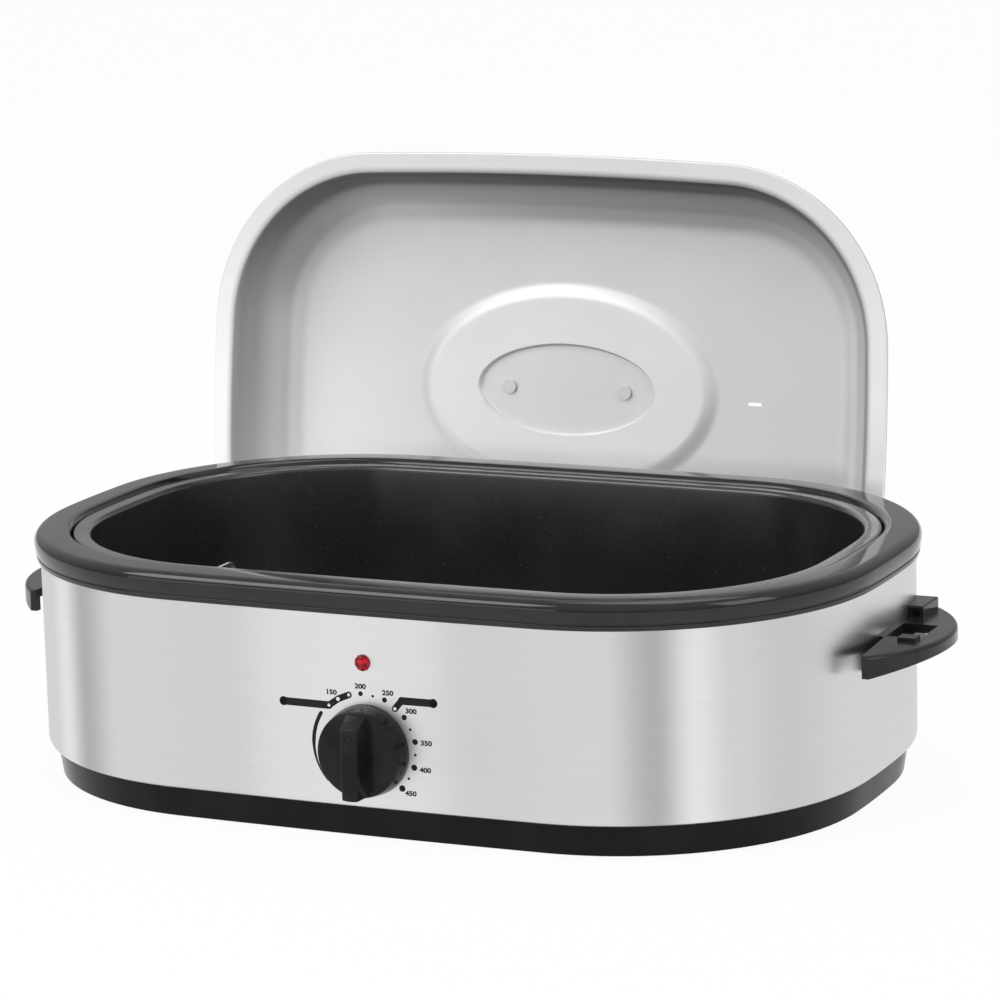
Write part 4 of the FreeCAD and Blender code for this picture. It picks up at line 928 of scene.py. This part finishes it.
def vent_slot(bm, lid):
    """Cut the slot through both skins and close its edges."""
    low = Vector((lid.slot_x - lid.slot_long, lid.slot_y - lid.slot_short, 0))
    high = Vector((lid.slot_x + lid.slot_long, lid.slot_y + lid.slot_short, 0))

    def flats():
        return [face for face in bm.faces if abs(face.normal.z) > 0.999
                and face.calc_center_median().z > lid.depth - 0.001
                and face.calc_center_median().x > lid.oval_long]

    for corner, way in ((low, (1, 0, 0)), (high, (1, 0, 0)), (low, (0, 1, 0)),
                        (high, (0, 1, 0))):
        faces = flats()
        edges = list({edge for face in faces for edge in face.edges})
        verts = list({vert for face in faces for vert in face.verts})
        bmesh.ops.bisect_plane(bm, geom=faces + edges + verts, dist=0.000001,
                               plane_co=corner, plane_no=way)
    inside = [face for face in flats()
              if low.x < face.calc_center_median().x < high.x
              and low.y < face.calc_center_median().y < high.y]
    if not inside:
        raise RuntimeError("the vent slot cuts no face of the lid")
    bmesh.ops.delete(bm, geom=inside, context="FACES")
    rim = [edge for edge in bm.edges if edge.is_boundary]
    bmesh.ops.bridge_loops(bm, edges=rim)


class ROASTER_OT_lid(bpy.types.Operator):
    """Make the lid, and finish its grip and screws"""
    bl_idname = "roaster.lid"
    bl_label = "Lid"

    def execute(self, context):
        lid, finish = context.scene.roaster_lid, context.scene.roaster_finish
        outline = oblong(lid.half_length, lid.half_width, lid.corner, lid.long_bow,
                         lid.short_bow, (16, 22, 20))
        depth, gauge, bead, flange = lid.depth, lid.gauge, lid.bead, lid.flange
        low = flange + lid.lean
        bm = bmesh.new()
        swept_ring(bm, outline, [
            (low + 0.034, depth), (low + 0.0225, depth), (low, depth, 0.026, 14),
            (flange, 0, 0.006, 6), (flange - 0.0062, 0), (0.0014, 0), (0, 0, 0.0010, 4),
            (0, bead, 0.0014, 5), (bead, bead, 0.0008, 3), (bead, gauge),
            (flange - 0.007, gauge), (flange - 0.0008, gauge, 0.005, 5),
            (low - 0.0008, depth + gauge, 0.027, 14), (low + 0.0225, depth + gauge),
            (low + 0.034, depth + gauge)], False)
        rise, run = lid.oval_rise, 0.011
        seat_long, seat_short = lid.seat_long, lid.seat_short
        front = soft_step(lid.oval_long, lid.oval_short, depth, depth - rise, run)
        front += soft_step(seat_long, seat_short, depth - rise, depth, 0.0016, 5)
        stepped_ovals(bm, open_loop(bm, depth), lid, front)
        top = depth + gauge
        back = soft_step(lid.oval_long - 0.0006, lid.oval_short - 0.0006, top, top - rise, run)
        back += soft_step(seat_long + 0.006, seat_short + 0.006, top - rise, top, 0.0016, 5)
        stepped_ovals(bm, open_loop(bm, top), lid, back)
        vent_slot(bm, lid)
        bmesh.ops.recalc_face_normals(bm, faces=bm.faces)
        stand = Matrix.Translation(lid.middle) @ Matrix.Rotation(lid_turn(lid), 4, "X")
        bmesh.ops.transform(bm, matrix=stand, verts=bm.verts)
        shell = finish_piece("satin_lid", bm, "lid", satin_lid_finish(finish, lid),
                             40.0)
        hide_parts("lid_shell")
        smooth_copy("lid_handle", "lid_grip", "lid",
                    moulded_finish(finish, "lid_grip_black", 0.33))
        smooth_copy("lid_handle_screws", "lid_screws", "lid",
                    plated_finish("lid_screw_zinc", finish.zinc, 0.3))
        return {"FINISHED"}


class ROASTER_OT_inner_parts(bpy.types.Operator):
    """Finish the well, heater, blanket, switch, wiring parts and fastenings"""
    bl_idname = "roaster.inner_parts"
    bl_label = "Inner Parts"

    def execute(self, context):
        finish = context.scene.roaster_finish
        dress(plated_finish("well_aluminised", (0.6, 0.6, 0.61), 0.42, (90, 90, 300)),
              "heating_well")
        dress(mineral_finish("heater_mica", (0.36, 0.3, 0.22), (0.62, 0.55, 0.44), 0.7),
              "heater_band")
        dress(mineral_finish("blanket_fibre", (0.66, 0.62, 0.5), (0.86, 0.84, 0.76), 0.9, 240),
              "insulation_blanket")
        dress(plated_finish("zinc_plate", finish.zinc, 0.32), "heater_clamps", "foot_screws",
              "tie_brackets", "tie_screws", "bushing_nut", "backing_plates", "handle_screws",
              "thermal_fuse")
        dress(mineral_finish("foot_rubber", (0.015, 0.015, 0.015), (0.035, 0.035, 0.035), 0.75),
              "feet")
        dress(mineral_finish("switch_phenolic", (0.18, 0.11, 0.06), (0.3, 0.2, 0.12), 0.45),
              "thermostat")
        dress(mineral_finish("block_ceramic", (0.74, 0.72, 0.66), (0.86, 0.85, 0.8), 0.3),
              "terminal_block")
        return {"FINISHED"}


def camera_turn(stage):
    """World matrix of the camera: it looks at its aim, with a small roll."""
    place, aim = Vector(stage.camera_place), Vector(stage.camera_aim)
    back = (place - aim).normalized()
    right = Vector((0, 0, 1)).cross(back).normalized()
    up = back.cross(right)
    roll = stage.camera_roll
    right_rolled = right * math.cos(roll) + up * math.sin(roll)
    up_rolled = up * math.cos(roll) - right * math.sin(roll)
    turn = Matrix((right_rolled, up_rolled, back)).transposed().to_4x4()
    return Matrix.Translation(place) @ turn


def floor_finish():
    """Pale floor: white to the camera and to reflections, still shaded by the object."""
    material = bpy.data.materials.new("pale_floor")
    material.use_nodes = True
    tree = material.node_tree
    tree.nodes.clear()
    path = add_node(tree, "LightPath").outputs
    seen = combine(material, "ADD", path["Is Camera Ray"], path["Is Glossy Ray"])
    seen_all = add_node(tree, "Math", {0: seen, 1: path["Is Transmission Ray"]},
                        operation="ADD", use_clamp=True)
    amount = combine(material, "MULTIPLY", seen_all.outputs[0], 0.94)
    diffuse = add_node(tree, "BsdfDiffuse", {"Color": (0.82, 0.82, 0.82, 1)})
    glow = add_node(tree, "Emission", {"Color": (1, 1, 1, 1), "Strength": 1.0})
    mix = add_node(tree, "MixShader", {"Fac": amount, 1: diffuse.outputs["BSDF"],
                                       2: glow.outputs["Emission"]})
    add_node(tree, "OutputMaterial", {"Surface": mix.outputs["Shader"]})
    return material


def studio_floor(scene):
    bm = bmesh.new()
    bmesh.ops.create_grid(bm, x_segments=1, y_segments=1, size=14.0)
    mesh = bpy.data.meshes.new("studio_floor")
    bm.to_mesh(mesh)
    bm.free()
    floor = bpy.data.objects.new("studio_floor", mesh)
    scene.collection.objects.link(floor)
    mesh.materials.append(floor_finish())


def room_light(scene, stage):
    """Even room: white to the camera, dimmer at the horizon than above for the object."""
    world = bpy.data.worlds.new("studio_world")
    world.use_nodes = True
    scene.world = world
    tree = world.node_tree
    coords, path = add_node(tree, "TexCoord"), add_node(tree, "LightPath")
    split = add_node(tree, "SeparateXYZ", {"Vector": coords.outputs["Generated"]})
    sky = add_node(tree, "MapRange", {
        "Value": split.outputs["Z"], "From Min": 0.05, "From Max": 0.6,
        "To Min": stage.horizon, "To Max": stage.sky})
    level = add_node(tree, "MapRange", {
        "Value": path.outputs["Is Camera Ray"], "To Min": sky.outputs["Result"], "To Max": 1.0})
    air = tree.nodes["Background"]
    air.inputs["Color"].default_value = (1, 1, 1, 1)
    tree.links.new(level.outputs["Result"], air.inputs["Strength"])


def soft_lamp(name, place, aim, width, height, power):
    lamp = bpy.data.lights.new(name, "AREA")
    lamp.shape = "RECTANGLE"
    lamp.size, lamp.size_y, lamp.energy = width, height, power
    holder = bpy.data.objects.new(name, lamp)
    bpy.context.scene.collection.objects.link(holder)
    way = Vector(aim) - Vector(place)
    holder.matrix_world = (Matrix.Translation(place)
                           @ way.to_track_quat("-Z", "Y").to_matrix().to_4x4())


def picture_camera(scene, stage):
    camera = bpy.data.cameras.new("picture_camera")
    camera.lens = stage.lens
    camera.sensor_width = 36.0
    camera.clip_end = 60.0
    holder = bpy.data.objects.new("picture_camera", camera)
    scene.collection.objects.link(holder)
    holder.matrix_world = camera_turn(stage)
    scene.camera = holder


class ROASTER_OT_stage(bpy.types.Operator):
    """Set the floor, the lamps and the camera"""
    bl_idname = "roaster.stage"
    bl_label = "Stage"

    def execute(self, context):
        scene, stage = context.scene, context.scene.roaster_stage
        studio_floor(scene)
        room_light(scene, stage)
        middle = (0, 0, 0.1)
        soft_lamp("key_lamp", (-1.3, -1.5, 2.0), middle, 1.6, 1.2, stage.key)
        soft_lamp("fill_lamp", (2.2, -0.6, 1.3), middle, 1.0, 1.4, stage.fill)
        soft_lamp("top_lamp", (0.2, 0.4, 2.4), middle, 1.6, 1.0, stage.fill)
        soft_lamp("low_lamp", (-1.1, -2.2, 0.5), (0.1, 0.1, 0.2), 1.9, 0.6, stage.low)
        picture_camera(scene, stage)
        scene.view_settings.view_transform = "Standard"
        return {"FINISHED"}


class ROASTER_PT_panel(bpy.types.Panel):
    """Lists the pieces in the 3D view's sidebar"""
    bl_idname = "ROASTER_PT_panel"
    bl_label = "Roaster Oven"
    bl_space_type = "VIEW_3D"
    bl_region_type = "UI"
    bl_category = "Roaster"

    def draw(self, context):
        for operator in OPERATORS:
            self.layout.operator(operator.bl_idname)
        for group in SETTINGS:
            box = self.layout.box()
            settings = getattr(context.scene, group)
            for prop in settings.bl_rna.properties:
                if prop.identifier not in ("rna_type", "name"):
                    box.prop(settings, prop.identifier)


OPERATORS = (
    ROASTER_OT_body_shell, ROASTER_OT_dial, ROASTER_OT_dial_print, ROASTER_OT_lamp,
    ROASTER_OT_handles, ROASTER_OT_pan_and_rack, ROASTER_OT_lid, ROASTER_OT_inner_parts,
    ROASTER_OT_stage,
)


def register():
    for group in SETTINGS.values():
        bpy.utils.register_class(group)
    for name, group in SETTINGS.items():
        setattr(bpy.types.Scene, name, bpy.props.PointerProperty(type=group))
    for operator in OPERATORS:
        bpy.utils.register_class(operator)
    bpy.utils.register_class(ROASTER_PT_panel)


def unregister():
    bpy.utils.unregister_class(ROASTER_PT_panel)
    for operator in reversed(OPERATORS):
        bpy.utils.unregister_class(operator)
    for name in SETTINGS:
        delattr(bpy.types.Scene, name)
    for group in reversed(list(SETTINGS.values())):
        bpy.utils.unregister_class(group)


def main():
    """Make every piece."""
    register()
    for operator in OPERATORS:
        group, name = operator.bl_idname.split(".")
        getattr(getattr(bpy.ops, group), name)()


if __name__ == "__main__":
    main()
